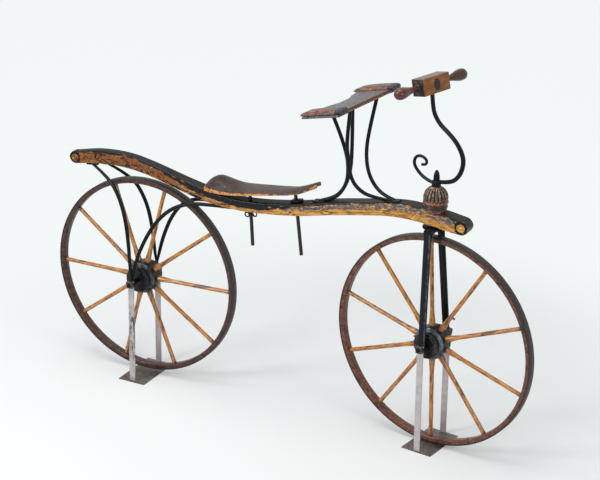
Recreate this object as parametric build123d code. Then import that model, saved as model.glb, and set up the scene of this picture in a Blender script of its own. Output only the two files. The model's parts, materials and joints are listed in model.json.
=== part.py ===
from build123d import *
import math
import os

# Wooden running machine of about 1820 on two display stands: millimetres, +X forward, +Y to
# the rider's left, +Z up. The origin lies on the floor, midway between the two axles.

# Driving sizes of the whole machine
WHEELBASE = 1060.0
FRONT_WHEEL_DIAMETER = 700.0
WHEEL_DIFFERENCE = 20.0
STEERING_TURN = -6.6
STEERING_LEAD = 14.0
BEAM_OVER_WHEEL = 92.0
PROFILE_HEIGHT = 800.0
OVERRUN = 2.0

# Wheels
TYRE_WIDTH = 29.0
TYRE_THICKNESS = 4.5
FELLOE_WIDTH = 27.0
FELLOE_DEPTH = 13.5
FELLOE_EDGE = 3.0
SPOKE_RADIUS = 7.0
SPOKE_FOOT_RADIUS = 10.5
SPOKE_FLARE = 46.0
FRONT_SPOKE_ANGLES = (22.0, 58.0, 94.0, 130.5, 166.0, 201.0, 234.5, 270.3, 306.0, 342.7)
REAR_SPOKE_ANGLES = (0.6, 38.0, 76.6, 111.5, 144.8, 182.2, 217.1, 254.5, 289.2, 323.2)
NAVE_RADIUS = 54.0
NAVE_WIDTH = 46.0
FRONT_NAVE_SHIFT = -8.0
REAR_NAVE_SHIFT = -15.0
NAVE_SHOULDER = 7.0
BARREL_RADIUS = 40.0
BARREL_REACH = 46.0
BAND_RADIUS = 43.0
BAND_WIDTH = 9.0
AXLE_RADIUS = 8.0
RUNNING_CLEARANCE = 0.08
SEAT_GAP = 0.1

# Display stands
PLATE_THICKNESS = 3.0
FRONT_PLATE_LENGTH = 107.0
REAR_PLATE_LENGTH = 100.0
FRONT_PLATE_MARGIN = 4.0
REAR_PLATE_MARGIN = 8.0
PLATE_HOLE_RADIUS = 3.0
PLATE_HOLE_INSET_X = 15.0
PLATE_HOLE_INSET_Y = 20.0
FRONT_FLOOR_GAP = 5.0
REAR_FLOOR_GAP = 13.0
UPRIGHT_WIDTH = 21.5
UPRIGHT_THICKNESS = 4.0
UPRIGHT_HEAD = 14.0

# Forks, stays and what clamps them on the axles
FRONT_EYE_REACH = 69.0
REAR_EYE_REACH = 72.5
REAR_AXLE_SHIFT = -15.0
BLADE_WIDTH = 22.0
BLADE_THICKNESS = 9.0
BLADE_TOP_REACH = 34.0
BLADE_EYE_RADIUS = 15.0
PEG_RADIUS = 3.0
PEG_LENGTH = 22.0
RIGHT_PEG_RISE = 32.0
LEFT_PEG_RISE = 56.0
CROWN_HEIGHT = 20.0
CROWN_LENGTH = 27.0
CROWN_GAP = 5.0
STAY_RADIUS = 5.2
STAY_EYE_THICKNESS = 4.2
STAY_EYE_RADIUS = 14.0
PALM_WIDTH = 13.0
PALM_LENGTH = 44.0
PALM_THICKNESS = 6.0
NUT_SIDE = 24.0
NUT_THICKNESS = 12.0
AXLE_PROUD = 3.0

# Beam: side outline in shares of the wheelbase and of the profile height (1 is the beam's top),
# and its two widths
BEAM_TOP_SHARES = (
    (-0.752, 0.9350), (-0.660, 0.9613), (-0.560, 0.9669), (-0.475, 0.9500), (-0.330, 0.9044),
    (-0.205, 0.8760), (-0.095, 0.8800), (0.047, 0.9100), (0.162, 0.9463), (0.289, 0.9788),
    (0.377, 0.9980), (0.443, 1.0000), (0.524, 0.9888), (0.577, 0.9790))
BEAM_BOTTOM_SHARES = (
    (-0.752, 0.8810), (-0.650, 0.9025), (-0.560, 0.9063), (-0.475, 0.8930), (-0.300, 0.8413),
    (-0.175, 0.8288), (-0.088, 0.8344), (0.036, 0.8563), (0.162, 0.8925), (0.289, 0.9250),
    (0.360, 0.9388), (0.443, 0.9390), (0.528, 0.9250), (0.577, 0.9180))
BEAM_WIDTH = 48.0
BEAM_TAIL_WIDTH = 28.0
BEAM_NOSE_WIDTH = 42.0
BEAM_TAPER_SHARES = (-0.560, -0.095, 0.520)
BOSS_DEPTH = 3.0
BOSS_RADIUS = 13.0
BOSS_GROOVE = 7.0

# Steering head: the fluted dome and the rings under it
DOME_RADIUS = 38.0
DOME_HEIGHT = 44.0
DOME_BASE = 6.0
DOME_NECK_RADIUS = 15.0
FLUTE_COUNT = 20
FLUTE_RADIUS = 3.4
RING_HEIGHTS = (8.0, 8.0, 6.0, 10.0)
RING_RADII = (35.5, 38.0, 35.0, 40.0)
STEM_RADIUS = 12.0
STEM_COLLAR_RADIUS = 14.5
STEM_COLLAR_HEIGHT = 17.0
FINIAL_RADIUS = 10.0
FINIAL_HEIGHT = 35.0
FINIAL_TIP = 1.5

# Steering lever, its scroll and the handle, in the lever's own upright plane
LEVER_TWIST = -9.4
LEVER_RADIUS = 6.9
SCROLL_RADIUS = 4.5
LEVER_HEIGHT = 270.0
LEVER_REACH = 109.0
LEVER_SHARES = (
    (0.00, 0.020), (0.49, 0.055), (0.79, 0.160), (0.93, 0.300), (0.91, 0.420), (0.69, 0.545),
    (0.38, 0.635), (0.09, 0.695), (-0.10, 0.770), (-0.23, 0.870), (-0.28, 1.045))
SCROLL_SHARES = (
    (0.00, -0.010), (-0.30, 0.000), (-0.62, 0.050), (-0.85, 0.140), (-0.80, 0.235), (-0.58, 0.270),
    (-0.37, 0.235), (-0.42, 0.175), (-0.56, 0.170))
BLOCK_LENGTH = 118.0
BLOCK_DEPTH = 48.0
BLOCK_HEIGHT = 53.0
BLOCK_TILT = -12.0
GRIP_LENGTH = 98.0
GRIP_BULB_RADIUS = 18.5
GRIP_NECK_RADIUS = 8.5
INLAY_WIDTH = 22.0
INLAY_HEIGHT = 34.0
INLAY_PROUD = 1.0

# Saddle: sections along the seat in shares of its length, half width and the profile height
SADDLE_LENGTH = 405.0
SADDLE_HALF_WIDTH = 60.0
SADDLE_REAR_SHARE = -0.275
SADDLE_THICKNESS = 7.0
SADDLE_SHARES = (
    (0.00, 0.40, 0.903, 0.912), (0.05, 0.78, 0.906, 0.939), (0.11, 0.96, 0.909, 0.952),
    (0.20, 1.00, 0.911, 0.942), (0.31, 0.97, 0.916, 0.928), (0.51, 0.85, 0.931, 0.9355),
    (0.70, 0.70, 0.947, 0.952), (0.85, 0.54, 0.963, 0.976), (1.00, 0.26, 1.000, 1.010))
SCREW_RADIUS = 5.0
SCREW_DROP_SHARE = 0.680
REAR_SCREW_SHARE = -0.125
FRONT_SCREW_SHARE = 0.034
REAR_SCREW_LEAN = 3.6
FRONT_SCREW_LEAN = 6.7
WING_NUT_RADIUS = 8.0
WING_NUT_HEIGHT = 12.0
WING_RING_RADIUS = 7.0
WING_WIRE_RADIUS = 2.2
WING_EAR_SHARES = ((-0.83, 1.50), (1.00, 1.00))
BRACKET_LENGTH = 36.0
BRACKET_HEIGHT = 14.0
BRACKET_WIDTH = 26.0

# Armrest: a board on four irons, a middle pad and a pad on each wing
ARMREST_SHARE = 0.224
ARMREST_RISE = 300.0
ARMREST_TURN = -6.5
ARMREST_TILT = 14.0
ARMREST_SPAN = 350.0
BOARD_THICKNESS = 7.0
BOARD_CORNER = 4.0
PAD_THICKNESS = 5.0
PAD_EDGE = 2.0
WING_WIDTH = 58.0
WING_LENGTH = 150.0
WING_RISE = 10.5
# Board outline in shares of the wing length and of half the span; wing outline in shares of the
# wing length and of its rise over the middle pad
BOARD_SHARES = (
    (0.31, 0.00), (0.31, 0.64), (0.34, 0.68), (0.34, 1.00), (-0.58, 1.00), (-0.58, 0.71),
    (-0.46, 0.57), (-0.41, 0.36), (-0.31, 0.16), (-0.31, 0.00))
WING_SHARES = (
    (0.36, 0.50), (0.33, 0.92), (0.10, 1.00), (-0.30, 0.66), (-0.54, 0.20), (-0.63, -0.30))
IRON_RADIUS = 4.8
IRON_PAD_RADIUS = 11.0
IRON_PAD_THICKNESS = 3.0
BACK_IRON_FOOT_SHARE = 0.112
FRONT_IRON_FOOT_SHARE = 0.354
BACK_IRON_RIGHT_SHARES = ((0.42, 0.05, 0.05), (0.75, 0.17, 0.20), (0.95, 0.34, 0.36), (0.92, 0.64, 0.62))
BACK_IRON_LEFT_SHARES = ((0.35, 0.04, 0.05), (0.60, 0.13, 0.20), (0.745, 0.28, 0.38), (0.735, 0.50, 0.66))
FRONT_IRON_RIGHT_SHARES = (
    (0.51, 0.01, 0.155), (0.775, 0.07, 0.32), (0.955, 0.19, 0.49), (1.005, 0.41, 0.645),
    (1.015, 0.64, 0.843))
FRONT_IRON_LEFT_SHARES = (
    (0.20, 0.00, 0.09), (0.52, 0.055, 0.225), (0.78, 0.195, 0.37), (0.90, 0.40, 0.545),
    (0.885, 0.65, 0.76))
BACK_IRON_RIGHT_HEAD_SHARES = (-0.34, 0.400)
BACK_IRON_LEFT_HEAD_SHARES = (-0.37, 0.330)
FRONT_IRON_RIGHT_HEAD_SHARES = (0.13, 0.370)
FRONT_IRON_LEFT_HEAD_SHARES = (0.13, 0.480)
BOLT_HEAD_RADIUS = 7.0
BOLT_HEAD_HEIGHT = 4.0
BOLT_SHANK_RADIUS = 4.0

# Rear stays: the foot's place, then each bend as shares of the way from foot to eye: along,
# out, down. The hand-made irons differ from side to side.
BACK_STAY_RIGHT_FOOT_SHARE = -0.690
BACK_STAY_LEFT_FOOT_SHARE = -0.640
FRONT_STAY_FOOT_SHARE = -0.190
BACK_STAY_RIGHT_SHARES = (
    (0.37, 0.27, 0.07), (0.61, 0.44, 0.20), (0.78, 0.60, 0.39), (0.885, 0.76, 0.63), (0.965, 0.98, 0.87))
BACK_STAY_LEFT_SHARES = ((0.47, 0.60, 0.11), (0.77, 0.84, 0.33), (0.90, 0.95, 0.58), (0.96, 0.99, 0.87))
FRONT_STAY_RIGHT_SHARES = (
    (0.27, 0.16, 0.00), (0.46, 0.23, 0.03), (0.65, 0.33, 0.12), (0.82, 0.48, 0.32), (0.94, 0.68, 0.59),
    (0.99, 0.98, 0.84))
FRONT_STAY_LEFT_SHARES = (
    (0.27, 0.24, 0.00), (0.46, 0.42, 0.03), (0.63, 0.62, 0.12), (0.79, 0.84, 0.32), (0.905, 0.95, 0.59),
    (0.97, 0.99, 0.84))

REAR_WHEEL_DIAMETER = FRONT_WHEEL_DIAMETER - WHEEL_DIFFERENCE
FRONT_RADIUS = FRONT_WHEEL_DIAMETER / 2
REAR_RADIUS = REAR_WHEEL_DIAMETER / 2
FRONT_AXLE_X = WHEELBASE / 2
REAR_AXLE_X = -WHEELBASE / 2
STEERING_X = FRONT_AXLE_X - STEERING_LEAD
FRONT_AXLE_Z = PLATE_THICKNESS + FRONT_FLOOR_GAP + FRONT_RADIUS
REAR_AXLE_Z = PLATE_THICKNESS + REAR_FLOOR_GAP + REAR_RADIUS
FRONT_UPRIGHT_REACH = FRONT_EYE_REACH + BLADE_THICKNESS
REAR_UPRIGHT_REACH = REAR_EYE_REACH + 2 * STAY_EYE_THICKNESS
BEAM_TOP_HEIGHT = FRONT_AXLE_Z + FRONT_RADIUS + BEAM_OVER_WHEEL
ARMREST_HEIGHT = BEAM_TOP_HEIGHT + ARMREST_RISE


def level(share):
    """Height of a share of the profile, counted down from the beam's top."""
    return BEAM_TOP_HEIGHT - (1 - share) * PROFILE_HEIGHT


def edge_height(shares, x):
    """Height of a beam edge at x, read off its table of shares."""
    places = [(a * WHEELBASE, level(b)) for a, b in shares]
    for (x0, z0), (x1, z1) in zip(places, places[1:]):
        if x <= x1:
            return z0 + (z1 - z0) * (x - x0) / (x1 - x0)
    return places[-1][1]


def bent_line(points):
    """Straight runs joined by the largest tangent arcs that the runs allow."""
    spots = [Vector(*p) for p in points]
    radii = []
    for a, b, c in zip(spots, spots[1:], spots[2:]):
        turn = math.radians((b - a).get_angle(c - b))
        shorter = min((b - a).length, (c - b).length)
        radii.append(0.45 * shorter / math.tan(turn / 2))
    return FilletPolyline(*spots, radius=radii)


def rod(points, radius):
    """Round bar along a bent line."""
    path = bent_line(points)
    start = Plane(origin=path @ 0, z_dir=path % 0)
    return sweep(start * Circle(radius), path=path)


def turned(shape):
    """Turns what steers about the steering axis to where it is parked."""
    return Pos(STEERING_X, 0, 0) * Rot(0, 0, STEERING_TURN) * Pos(-STEERING_X, 0, 0) * shape


def across(x, z, y_from, y_to, radius):
    """Round bar along Y between two places."""
    middle = (y_from + y_to) / 2
    return Pos(x, middle, z) * Rot(90, 0, 0) * Cylinder(radius, abs(y_to - y_from))


def ring_profile(points):
    """Closed section in the XZ plane, x from the axis and z along it, spun about Z."""
    section = Plane.XZ * make_face(Polyline(*points, close=True))
    return revolve(section, Axis.Z)


def laid_on_wheel(shape, x, z):
    """Turns a round body from the Z axis to the Y axis and sets it on an axle."""
    return Pos(x, 0, z) * Rot(-90, 0, 0) * shape


def make_tyre(radius, x, z):
    """Flat iron hoop with its outer edges worn round."""
    inner = radius - TYRE_THICKNESS
    half = TYRE_WIDTH / 2
    edge = TYRE_THICKNESS / 3
    points = ((inner, -half), (radius - edge, -half), (radius, -half + edge),
              (radius, half - edge), (radius - edge, half), (inner, half))
    return laid_on_wheel(ring_profile(points), x, z)


def make_felloe(radius, x, z):
    """Wooden rim inside the hoop, its inner edges chamfered."""
    outer = radius - TYRE_THICKNESS
    inner = outer - FELLOE_DEPTH
    half = FELLOE_WIDTH / 2
    points = ((outer, -half), (inner + FELLOE_EDGE, -half), (inner, -half + FELLOE_EDGE),
              (inner, half - FELLOE_EDGE), (inner + FELLOE_EDGE, half), (outer, half))
    return laid_on_wheel(ring_profile(points), x, z)


def make_spokes(radius, angles, x, z, shift):
    """Ten turned spokes that swell towards the nave and lean out to its middle."""
    tip = radius - TYRE_THICKNESS - FELLOE_DEPTH - SEAT_GAP
    foot = NAVE_RADIUS - NAVE_SHOULDER
    flare = NAVE_RADIUS + SPOKE_FLARE
    end = tip + OVERRUN
    profile = Polyline((0, foot), (SPOKE_FOOT_RADIUS, foot), (SPOKE_FOOT_RADIUS, NAVE_RADIUS),
                       (SPOKE_RADIUS, flare), (SPOKE_RADIUS, end), (0, end), close=True)
    spoke = revolve(Plane.XZ * make_face(profile), Axis.Z)
    lean = math.degrees(math.asin(shift / (tip - foot)))
    spoke = Pos(0, 0, tip) * Rot(lean, 0, 0) * Pos(0, 0, -tip) * spoke
    spoke &= Rot(90, 0, 0) * Cylinder(tip, 2 * NAVE_WIDTH)
    spoke -= Pos(0, shift, 0) * Rot(90, 0, 0) * Cylinder(NAVE_RADIUS + SEAT_GAP, NAVE_WIDTH)
    spokes = []
    for angle in angles:
        spokes.append(Pos(x, 0, z) * Rot(0, 90 - angle, 0) * spoke)
    return Compound(spokes)


def make_nave(x, z, shift):
    """Stepped turned nave with a band at each end, bored for its axle."""
    bore = AXLE_RADIUS + RUNNING_CLEARANCE
    half = NAVE_WIDTH / 2
    band = BARREL_REACH - BAND_WIDTH
    half_outline = (
        (BAND_RADIUS, BARREL_REACH), (BAND_RADIUS, band), (BARREL_RADIUS, band),
        (BARREL_RADIUS, half + NAVE_SHOULDER / 2), (NAVE_RADIUS - NAVE_SHOULDER, half),
        (NAVE_RADIUS, half - NAVE_SHOULDER / 2))
    mirrored = tuple((r, -w) for r, w in reversed(half_outline))
    points = ((bore, BARREL_REACH),) + half_outline + mirrored + ((bore, -BARREL_REACH),)
    return Pos(0, shift, 0) * laid_on_wheel(ring_profile(points), x, z)


def make_axle(x, z, centre, reach):
    """Axle with a square nut and a worn thread end on each side."""
    end = reach + UPRIGHT_THICKNESS + NUT_THICKNESS + AXLE_PROUD
    axle = across(x, z, centre - end, centre + end, AXLE_RADIUS)
    for side in (-1, 1):
        middle = centre + side * (reach + UPRIGHT_THICKNESS + NUT_THICKNESS / 2)
        axle += Pos(x, middle, z) * Box(NUT_SIDE, NUT_THICKNESS, NUT_SIDE)
    return axle


def make_upright(x, z, y, side):
    """Flat steel bar from the floor plate up to the axle."""
    low = PLATE_THICKNESS
    height = z + UPRIGHT_HEAD - low
    bar = Pos(x, y + side * UPRIGHT_THICKNESS / 2, low + height / 2) * Box(
        UPRIGHT_WIDTH, UPRIGHT_THICKNESS, height)
    far = y + side * (UPRIGHT_THICKNESS + OVERRUN)
    return bar - across(x, z, y - side * OVERRUN, far, AXLE_RADIUS + SEAT_GAP)


def make_plate(x, length, centre, half_depth):
    """Floor plate with a screw hole near each corner."""
    plate = Pos(x, centre, PLATE_THICKNESS / 2) * Box(length, 2 * half_depth, PLATE_THICKNESS)
    for sx in (-1, 1):
        for sy in (-1, 1):
            hole_x = x + sx * (length / 2 - PLATE_HOLE_INSET_X)
            hole_y = centre + sy * (half_depth - PLATE_HOLE_INSET_Y)
            hole = Cylinder(PLATE_HOLE_RADIUS, 2 * PLATE_THICKNESS)
            plate -= Pos(hole_x, hole_y, PLATE_THICKNESS / 2) * hole
    return plate


def make_beam():
    """Bent oak beam: the side outline cut to the plan's taper, with a turned boss at each end."""
    top = [(a * WHEELBASE, 0, level(b)) for a, b in BEAM_TOP_SHARES]
    bottom = [(a * WHEELBASE, 0, level(b)) for a, b in BEAM_BOTTOM_SHARES]
    upper = bent_line(top)
    lower = bent_line(bottom)
    outline = Wire([*upper.edges(), Line(top[-1], bottom[-1]), *lower.edges(), Line(bottom[0], top[0])])
    side = extrude(Face(outline), amount=BEAM_WIDTH / 2, both=True)
    ends = []
    for (x, _, z_top), (_, _, z_bottom) in ((top[0], bottom[0]), (top[-1], bottom[-1])):
        radius = (z_top - z_bottom) / 2
        ends.append((x, (z_top + z_bottom) / 2, radius))
        side += across(x, (z_top + z_bottom) / 2, -BEAM_WIDTH / 2, BEAM_WIDTH / 2, radius)
    tail, waist, nose = (share * WHEELBASE for share in BEAM_TAPER_SHARES)
    x_low = ends[0][0] - ends[0][2] - OVERRUN
    x_high = ends[1][0] + ends[1][2] + OVERRUN
    half_plan = ((x_low, BEAM_TAIL_WIDTH / 2), (tail, BEAM_TAIL_WIDTH / 2), (waist, BEAM_WIDTH / 2),
                 (nose, BEAM_WIDTH / 2), (x_high, BEAM_NOSE_WIDTH / 2))
    plan_points = half_plan + tuple((x, -y) for x, y in reversed(half_plan))
    plan = extrude(make_face(Polyline(*plan_points, close=True)), amount=2 * BEAM_TOP_HEIGHT)
    beam = side & plan
    for (x, z, radius), width in zip(ends, (BEAM_TAIL_WIDTH, BEAM_NOSE_WIDTH)):
        for side_sign in (-1, 1):
            groove = Cylinder(BOSS_RADIUS + BOSS_GROOVE, 2 * BOSS_DEPTH)
            groove -= Cylinder(BOSS_RADIUS, 2 * BOSS_DEPTH)
            beam -= Pos(x, side_sign * width / 2, z) * Rot(90, 0, 0) * groove
    bores = ((STEERING_X, STEM_RADIUS + RUNNING_CLEARANCE),
             (BACK_IRON_FOOT_SHARE * WHEELBASE, BOLT_SHANK_RADIUS + SEAT_GAP),
             (FRONT_IRON_FOOT_SHARE * WHEELBASE, BOLT_SHANK_RADIUS + SEAT_GAP))
    for x, radius in bores:
        beam -= Pos(x, 0, BEAM_TOP_HEIGHT) * Cylinder(radius, BEAM_TOP_HEIGHT)
    for share, lean in ((REAR_SCREW_SHARE, REAR_SCREW_LEAN), (FRONT_SCREW_SHARE, FRONT_SCREW_LEAN)):
        beam -= screw_place(share, lean) * Cylinder(SCREW_RADIUS + SEAT_GAP, BEAM_TOP_HEIGHT)
    return beam


def screw_place(share, lean):
    """Where a saddle screw crosses the beam's middle, its foot leaning forward."""
    x = share * WHEELBASE
    z = (edge_height(BEAM_TOP_SHARES, x) + edge_height(BEAM_BOTTOM_SHARES, x)) / 2
    return Pos(x, 0, z) * Rot(0, -lean, 0)


def head_base():
    """Height where the steering head's rings sit on the beam."""
    return edge_height(BEAM_TOP_SHARES, STEERING_X)


def make_head_rings(beam):
    """Four turned rings, cut to the beam below them."""
    z = head_base() - PALM_THICKNESS
    body = None
    for height, radius in zip((RING_HEIGHTS[0] + PALM_THICKNESS,) + RING_HEIGHTS[1:], RING_RADII):
        ring = Pos(STEERING_X, 0, z + height / 2) * Cylinder(radius, height)
        if radius in RING_RADII[1::2]:
            ring = chamfer(ring.edges().filter_by(GeomType.CIRCLE), height / 4)
        body = ring if body is None else body + ring
        z += height
    body -= beam
    body -= Pos(STEERING_X, 0, z) * Cylinder(STEM_RADIUS + RUNNING_CLEARANCE, BEAM_TOP_HEIGHT)
    solids = body.solids().sort_by(SortBy.VOLUME)
    return solids[-1]


def dome_floor():
    """Height of the dome's underside."""
    return head_base() + sum(RING_HEIGHTS)


def make_dome():
    """Beehive dome with a flute at each of its ribs."""
    z = dome_floor()
    outline = Wire([Line((0, 0), (DOME_RADIUS, 0)), Line((DOME_RADIUS, 0), (DOME_RADIUS, DOME_BASE)),
                    TangentArc((DOME_RADIUS, DOME_BASE), (DOME_NECK_RADIUS, DOME_HEIGHT), tangent=(0, 1)),
                    Line((DOME_NECK_RADIUS, DOME_HEIGHT), (0, DOME_HEIGHT)), Line((0, DOME_HEIGHT), (0, 0))])
    dome = revolve(Plane.XZ * Face(outline), Axis.Z)
    lean = math.degrees(math.atan2(DOME_RADIUS - DOME_NECK_RADIUS, DOME_HEIGHT))
    for k in range(FLUTE_COUNT):
        flute = Pos(DOME_RADIUS + FLUTE_RADIUS / 3, 0, DOME_BASE) * Rot(0, -lean / 2, 0) * Pos(
            0, 0, DOME_HEIGHT / 2) * Cylinder(FLUTE_RADIUS, DOME_HEIGHT)
        dome -= Rot(0, 0, k * 360 / FLUTE_COUNT) * flute
    dome -= Cylinder(STEM_RADIUS + RUNNING_CLEARANCE, 4 * DOME_HEIGHT)
    return Pos(STEERING_X, 0, z) * dome


def stem_collar_floor():
    """Height where the stem's collar clears the dome."""
    return dome_floor() + DOME_HEIGHT + RUNNING_CLEARANCE


def make_stem():
    """Steering stem through beam and dome, with a collar and a bullet finial."""
    low = edge_height(BEAM_BOTTOM_SHARES, STEERING_X) - CROWN_GAP
    collar = stem_collar_floor()
    finial = collar + STEM_COLLAR_HEIGHT
    outline = Wire([
        Line((0, low), (STEM_RADIUS, low)), Line((STEM_RADIUS, low), (STEM_RADIUS, collar)),
        Line((STEM_RADIUS, collar), (STEM_COLLAR_RADIUS, collar)),
        Line((STEM_COLLAR_RADIUS, collar), (STEM_COLLAR_RADIUS, finial)),
        Line((STEM_COLLAR_RADIUS, finial), (FINIAL_RADIUS, finial)),
        TangentArc((FINIAL_RADIUS, finial), (FINIAL_TIP, finial + FINIAL_HEIGHT), tangent=(0, 1)),
        Line((FINIAL_TIP, finial + FINIAL_HEIGHT), (0, finial + FINIAL_HEIGHT)),
        Line((0, finial + FINIAL_HEIGHT), (0, low))])
    stem = revolve(Plane.XZ * Face(outline), Axis.Z)
    return Pos(STEERING_X, 0, 0) * stem


def lever_frame(shape):
    """From the lever's own upright plane to its place on the stem."""
    middle = stem_collar_floor() + STEM_COLLAR_HEIGHT / 2
    return Pos(STEERING_X, 0, middle) * Rot(0, 0, LEVER_TWIST) * shape


def make_lever_bar(shares, radius, stem):
    """One bent bar in the lever's plane, cut to the collar and to the handle block."""
    bar = rod([(s * LEVER_REACH, 0, h * LEVER_HEIGHT) for s, h in shares], radius)
    body = lever_frame(bar) - stem - make_block()
    return max(body.solids(), key=lambda s: s.volume)


def block_centre():
    """Middle of the handle block in the lever's frame."""
    s, h = LEVER_SHARES[-1]
    tilt = math.radians(BLOCK_TILT)
    rise = BLOCK_HEIGHT / 2 + SEAT_GAP
    along = s * LEVER_REACH + rise * math.sin(tilt)
    up = h * LEVER_HEIGHT + rise * math.cos(tilt)
    return Pos(along, 0, up) * Rot(0, BLOCK_TILT, 0)


def make_block():
    """Handle block of a rectangular section, set on the lever's end."""
    block = Box(BLOCK_DEPTH, BLOCK_LENGTH, BLOCK_HEIGHT)
    block = chamfer(block.edges(), BLOCK_DEPTH / 30)
    block -= Pos(BLOCK_DEPTH / 2, 0, 0) * Box(2 * INLAY_PROUD, INLAY_WIDTH, INLAY_HEIGHT)
    return lever_frame(block_centre() * block)


def make_inlay():
    """Eight-sided iron plug let into the front of the block."""
    inlay = Box(2 * INLAY_PROUD, INLAY_WIDTH, INLAY_HEIGHT)
    inlay = chamfer(inlay.edges().filter_by(Axis.X), INLAY_WIDTH / 4)
    return lever_frame(block_centre() * Pos(BLOCK_DEPTH / 2, 0, 0) * inlay)


def make_grip(side):
    """Turned grip: a slim neck that swells to a round end."""
    bulb = GRIP_LENGTH - GRIP_BULB_RADIUS
    outline = Wire([
        Line((0, 0), (GRIP_NECK_RADIUS, 0)), Line((GRIP_NECK_RADIUS, 0), (GRIP_NECK_RADIUS, GRIP_LENGTH / 4)),
        Line((GRIP_NECK_RADIUS, GRIP_LENGTH / 4), (GRIP_BULB_RADIUS, bulb)),
        TangentArc((GRIP_BULB_RADIUS, bulb), (0, GRIP_LENGTH), tangent=(0, 1)),
        Line((0, GRIP_LENGTH), (0, 0))])
    grip = revolve(Plane.XZ * Face(outline), Axis.Z)
    placed = Pos(0, side * BLOCK_LENGTH / 2, 0) * Rot(-90 * side, 0, 0) * grip
    return lever_frame(block_centre() * placed)


def make_crown():
    """Fork crown under the beam, on the stem's end."""
    top = edge_height(BEAM_BOTTOM_SHARES, STEERING_X) - CROWN_GAP
    reach = BLADE_TOP_REACH + BLADE_THICKNESS
    crown = Pos(STEERING_X, 0, top - CROWN_HEIGHT / 2) * Box(CROWN_LENGTH, 2 * reach, CROWN_HEIGHT)
    return fillet(crown.edges().filter_by(Axis.X).group_by(Axis.Z)[-1], CROWN_HEIGHT / 3)


def make_blade(side):
    """Flat forged blade from the crown out to its eye on the axle, with a peg on one edge."""
    top = edge_height(BEAM_BOTTOM_SHARES, STEERING_X) - CROWN_GAP - CROWN_HEIGHT
    upper = Plane(origin=(STEERING_X, side * (BLADE_TOP_REACH + BLADE_THICKNESS / 2), top)) * Rectangle(
        BLADE_WIDTH, BLADE_THICKNESS)
    foot = side * (FRONT_EYE_REACH + BLADE_THICKNESS / 2)
    lower = Plane(origin=(FRONT_AXLE_X, foot, FRONT_AXLE_Z)) * Rectangle(BLADE_WIDTH, BLADE_THICKNESS)
    blade = loft([upper.face(), lower.face()], ruled=True)
    outer = side * (FRONT_EYE_REACH + BLADE_THICKNESS)
    blade += across(FRONT_AXLE_X, FRONT_AXLE_Z, side * FRONT_EYE_REACH, outer, BLADE_EYE_RADIUS)
    peg_z = FRONT_AXLE_Z + (RIGHT_PEG_RISE if side < 0 else LEFT_PEG_RISE)
    peg_length = BLADE_WIDTH / 2 + PEG_LENGTH
    peg = Pos(FRONT_AXLE_X + side * peg_length / 2, outer - side * BLADE_THICKNESS, peg_z) * Rot(
        0, 90, 0) * Cylinder(PEG_RADIUS, peg_length)
    blade += peg
    blade -= across(FRONT_AXLE_X, FRONT_AXLE_Z, 0, 2 * outer, AXLE_RADIUS + SEAT_GAP)
    return blade


def make_stay(side, foot_share, shares, eye_start, beam):
    """Round iron from a palm under the beam to an eye on the rear axle."""
    foot_x = foot_share * WHEELBASE
    foot_z = edge_height(BEAM_BOTTOM_SHARES, foot_x) - PALM_THICKNESS / 2
    foot_y = PALM_WIDTH / 2 + SEAT_GAP
    eye_y = REAR_EYE_REACH + eye_start + STAY_EYE_THICKNESS / 2
    centre = REAR_AXLE_SHIFT
    drop = foot_z - REAR_AXLE_Z
    points = [(foot_x, side * foot_y, foot_z)]
    end_y = centre + side * eye_y
    for along, out, down in shares:
        points.append((foot_x + along * (REAR_AXLE_X - foot_x), side * foot_y + out * (end_y - side * foot_y),
                       foot_z - down * drop))
    points.append((REAR_AXLE_X, end_y, REAR_AXLE_Z))
    stay = rod(points, STAY_RADIUS)
    inner = centre + side * (REAR_EYE_REACH + eye_start)
    outer = inner + side * STAY_EYE_THICKNESS
    keep = Pos(REAR_AXLE_X, inner, REAR_AXLE_Z) * Box(
        6 * STAY_EYE_RADIUS, 2 * STAY_EYE_RADIUS, 6 * STAY_EYE_RADIUS)
    near_eye = Pos(0, -side * STAY_EYE_RADIUS, 0) * keep + Pos(
        0, side * (STAY_EYE_RADIUS + STAY_EYE_THICKNESS), 0) * keep
    stay -= near_eye
    stay += across(REAR_AXLE_X, REAR_AXLE_Z, inner, outer, STAY_EYE_RADIUS)
    bore = AXLE_RADIUS + SEAT_GAP
    stay -= across(REAR_AXLE_X, REAR_AXLE_Z, inner - side * OVERRUN, outer + side * OVERRUN, bore)
    palm = Box(PALM_LENGTH, PALM_WIDTH, 3 * PALM_THICKNESS)
    palm = Pos(foot_x, side * foot_y, foot_z + PALM_THICKNESS / 2) * palm
    stay += palm
    stay -= beam
    below = [s for s in stay.solids() if s.center().Z < foot_z + PALM_THICKNESS]
    return max(below, key=lambda s: s.volume)


def make_screw(share, lean, saddle):
    """Long adjusting screw through the beam up to the saddle's underside."""
    place = screw_place(share, lean)
    drop = place.position.Z - level(SCREW_DROP_SHARE)
    screw = place * Pos(0, 0, -drop) * Cylinder(
        SCREW_RADIUS, 2 * BEAM_TOP_HEIGHT, align=(Align.CENTER, Align.CENTER, Align.MIN))
    screw -= saddle
    return min(screw.solids(), key=lambda s: s.center().Z)


def make_saddle():
    """Thin seat shell with a hump behind and a turned-up tip."""
    faces = []
    for along, wide, edge, ridge in SADDLE_SHARES:
        x = SADDLE_REAR_SHARE * WHEELBASE + along * SADDLE_LENGTH
        w = wide * SADDLE_HALF_WIDTH
        low = level(edge)
        high = level(ridge)
        t = SADDLE_THICKNESS
        outline = Wire([
            ThreePointArc((x, -w, low), (x, 0, high), (x, w, low)), Line((x, w, low), (x, w, low - t)),
            ThreePointArc((x, w, low - t), (x, 0, high - t), (x, -w, low - t)),
            Line((x, -w, low - t), (x, -w, low))])
        faces.append(Face(outline))
    return loft(faces, ruled=True)


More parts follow.
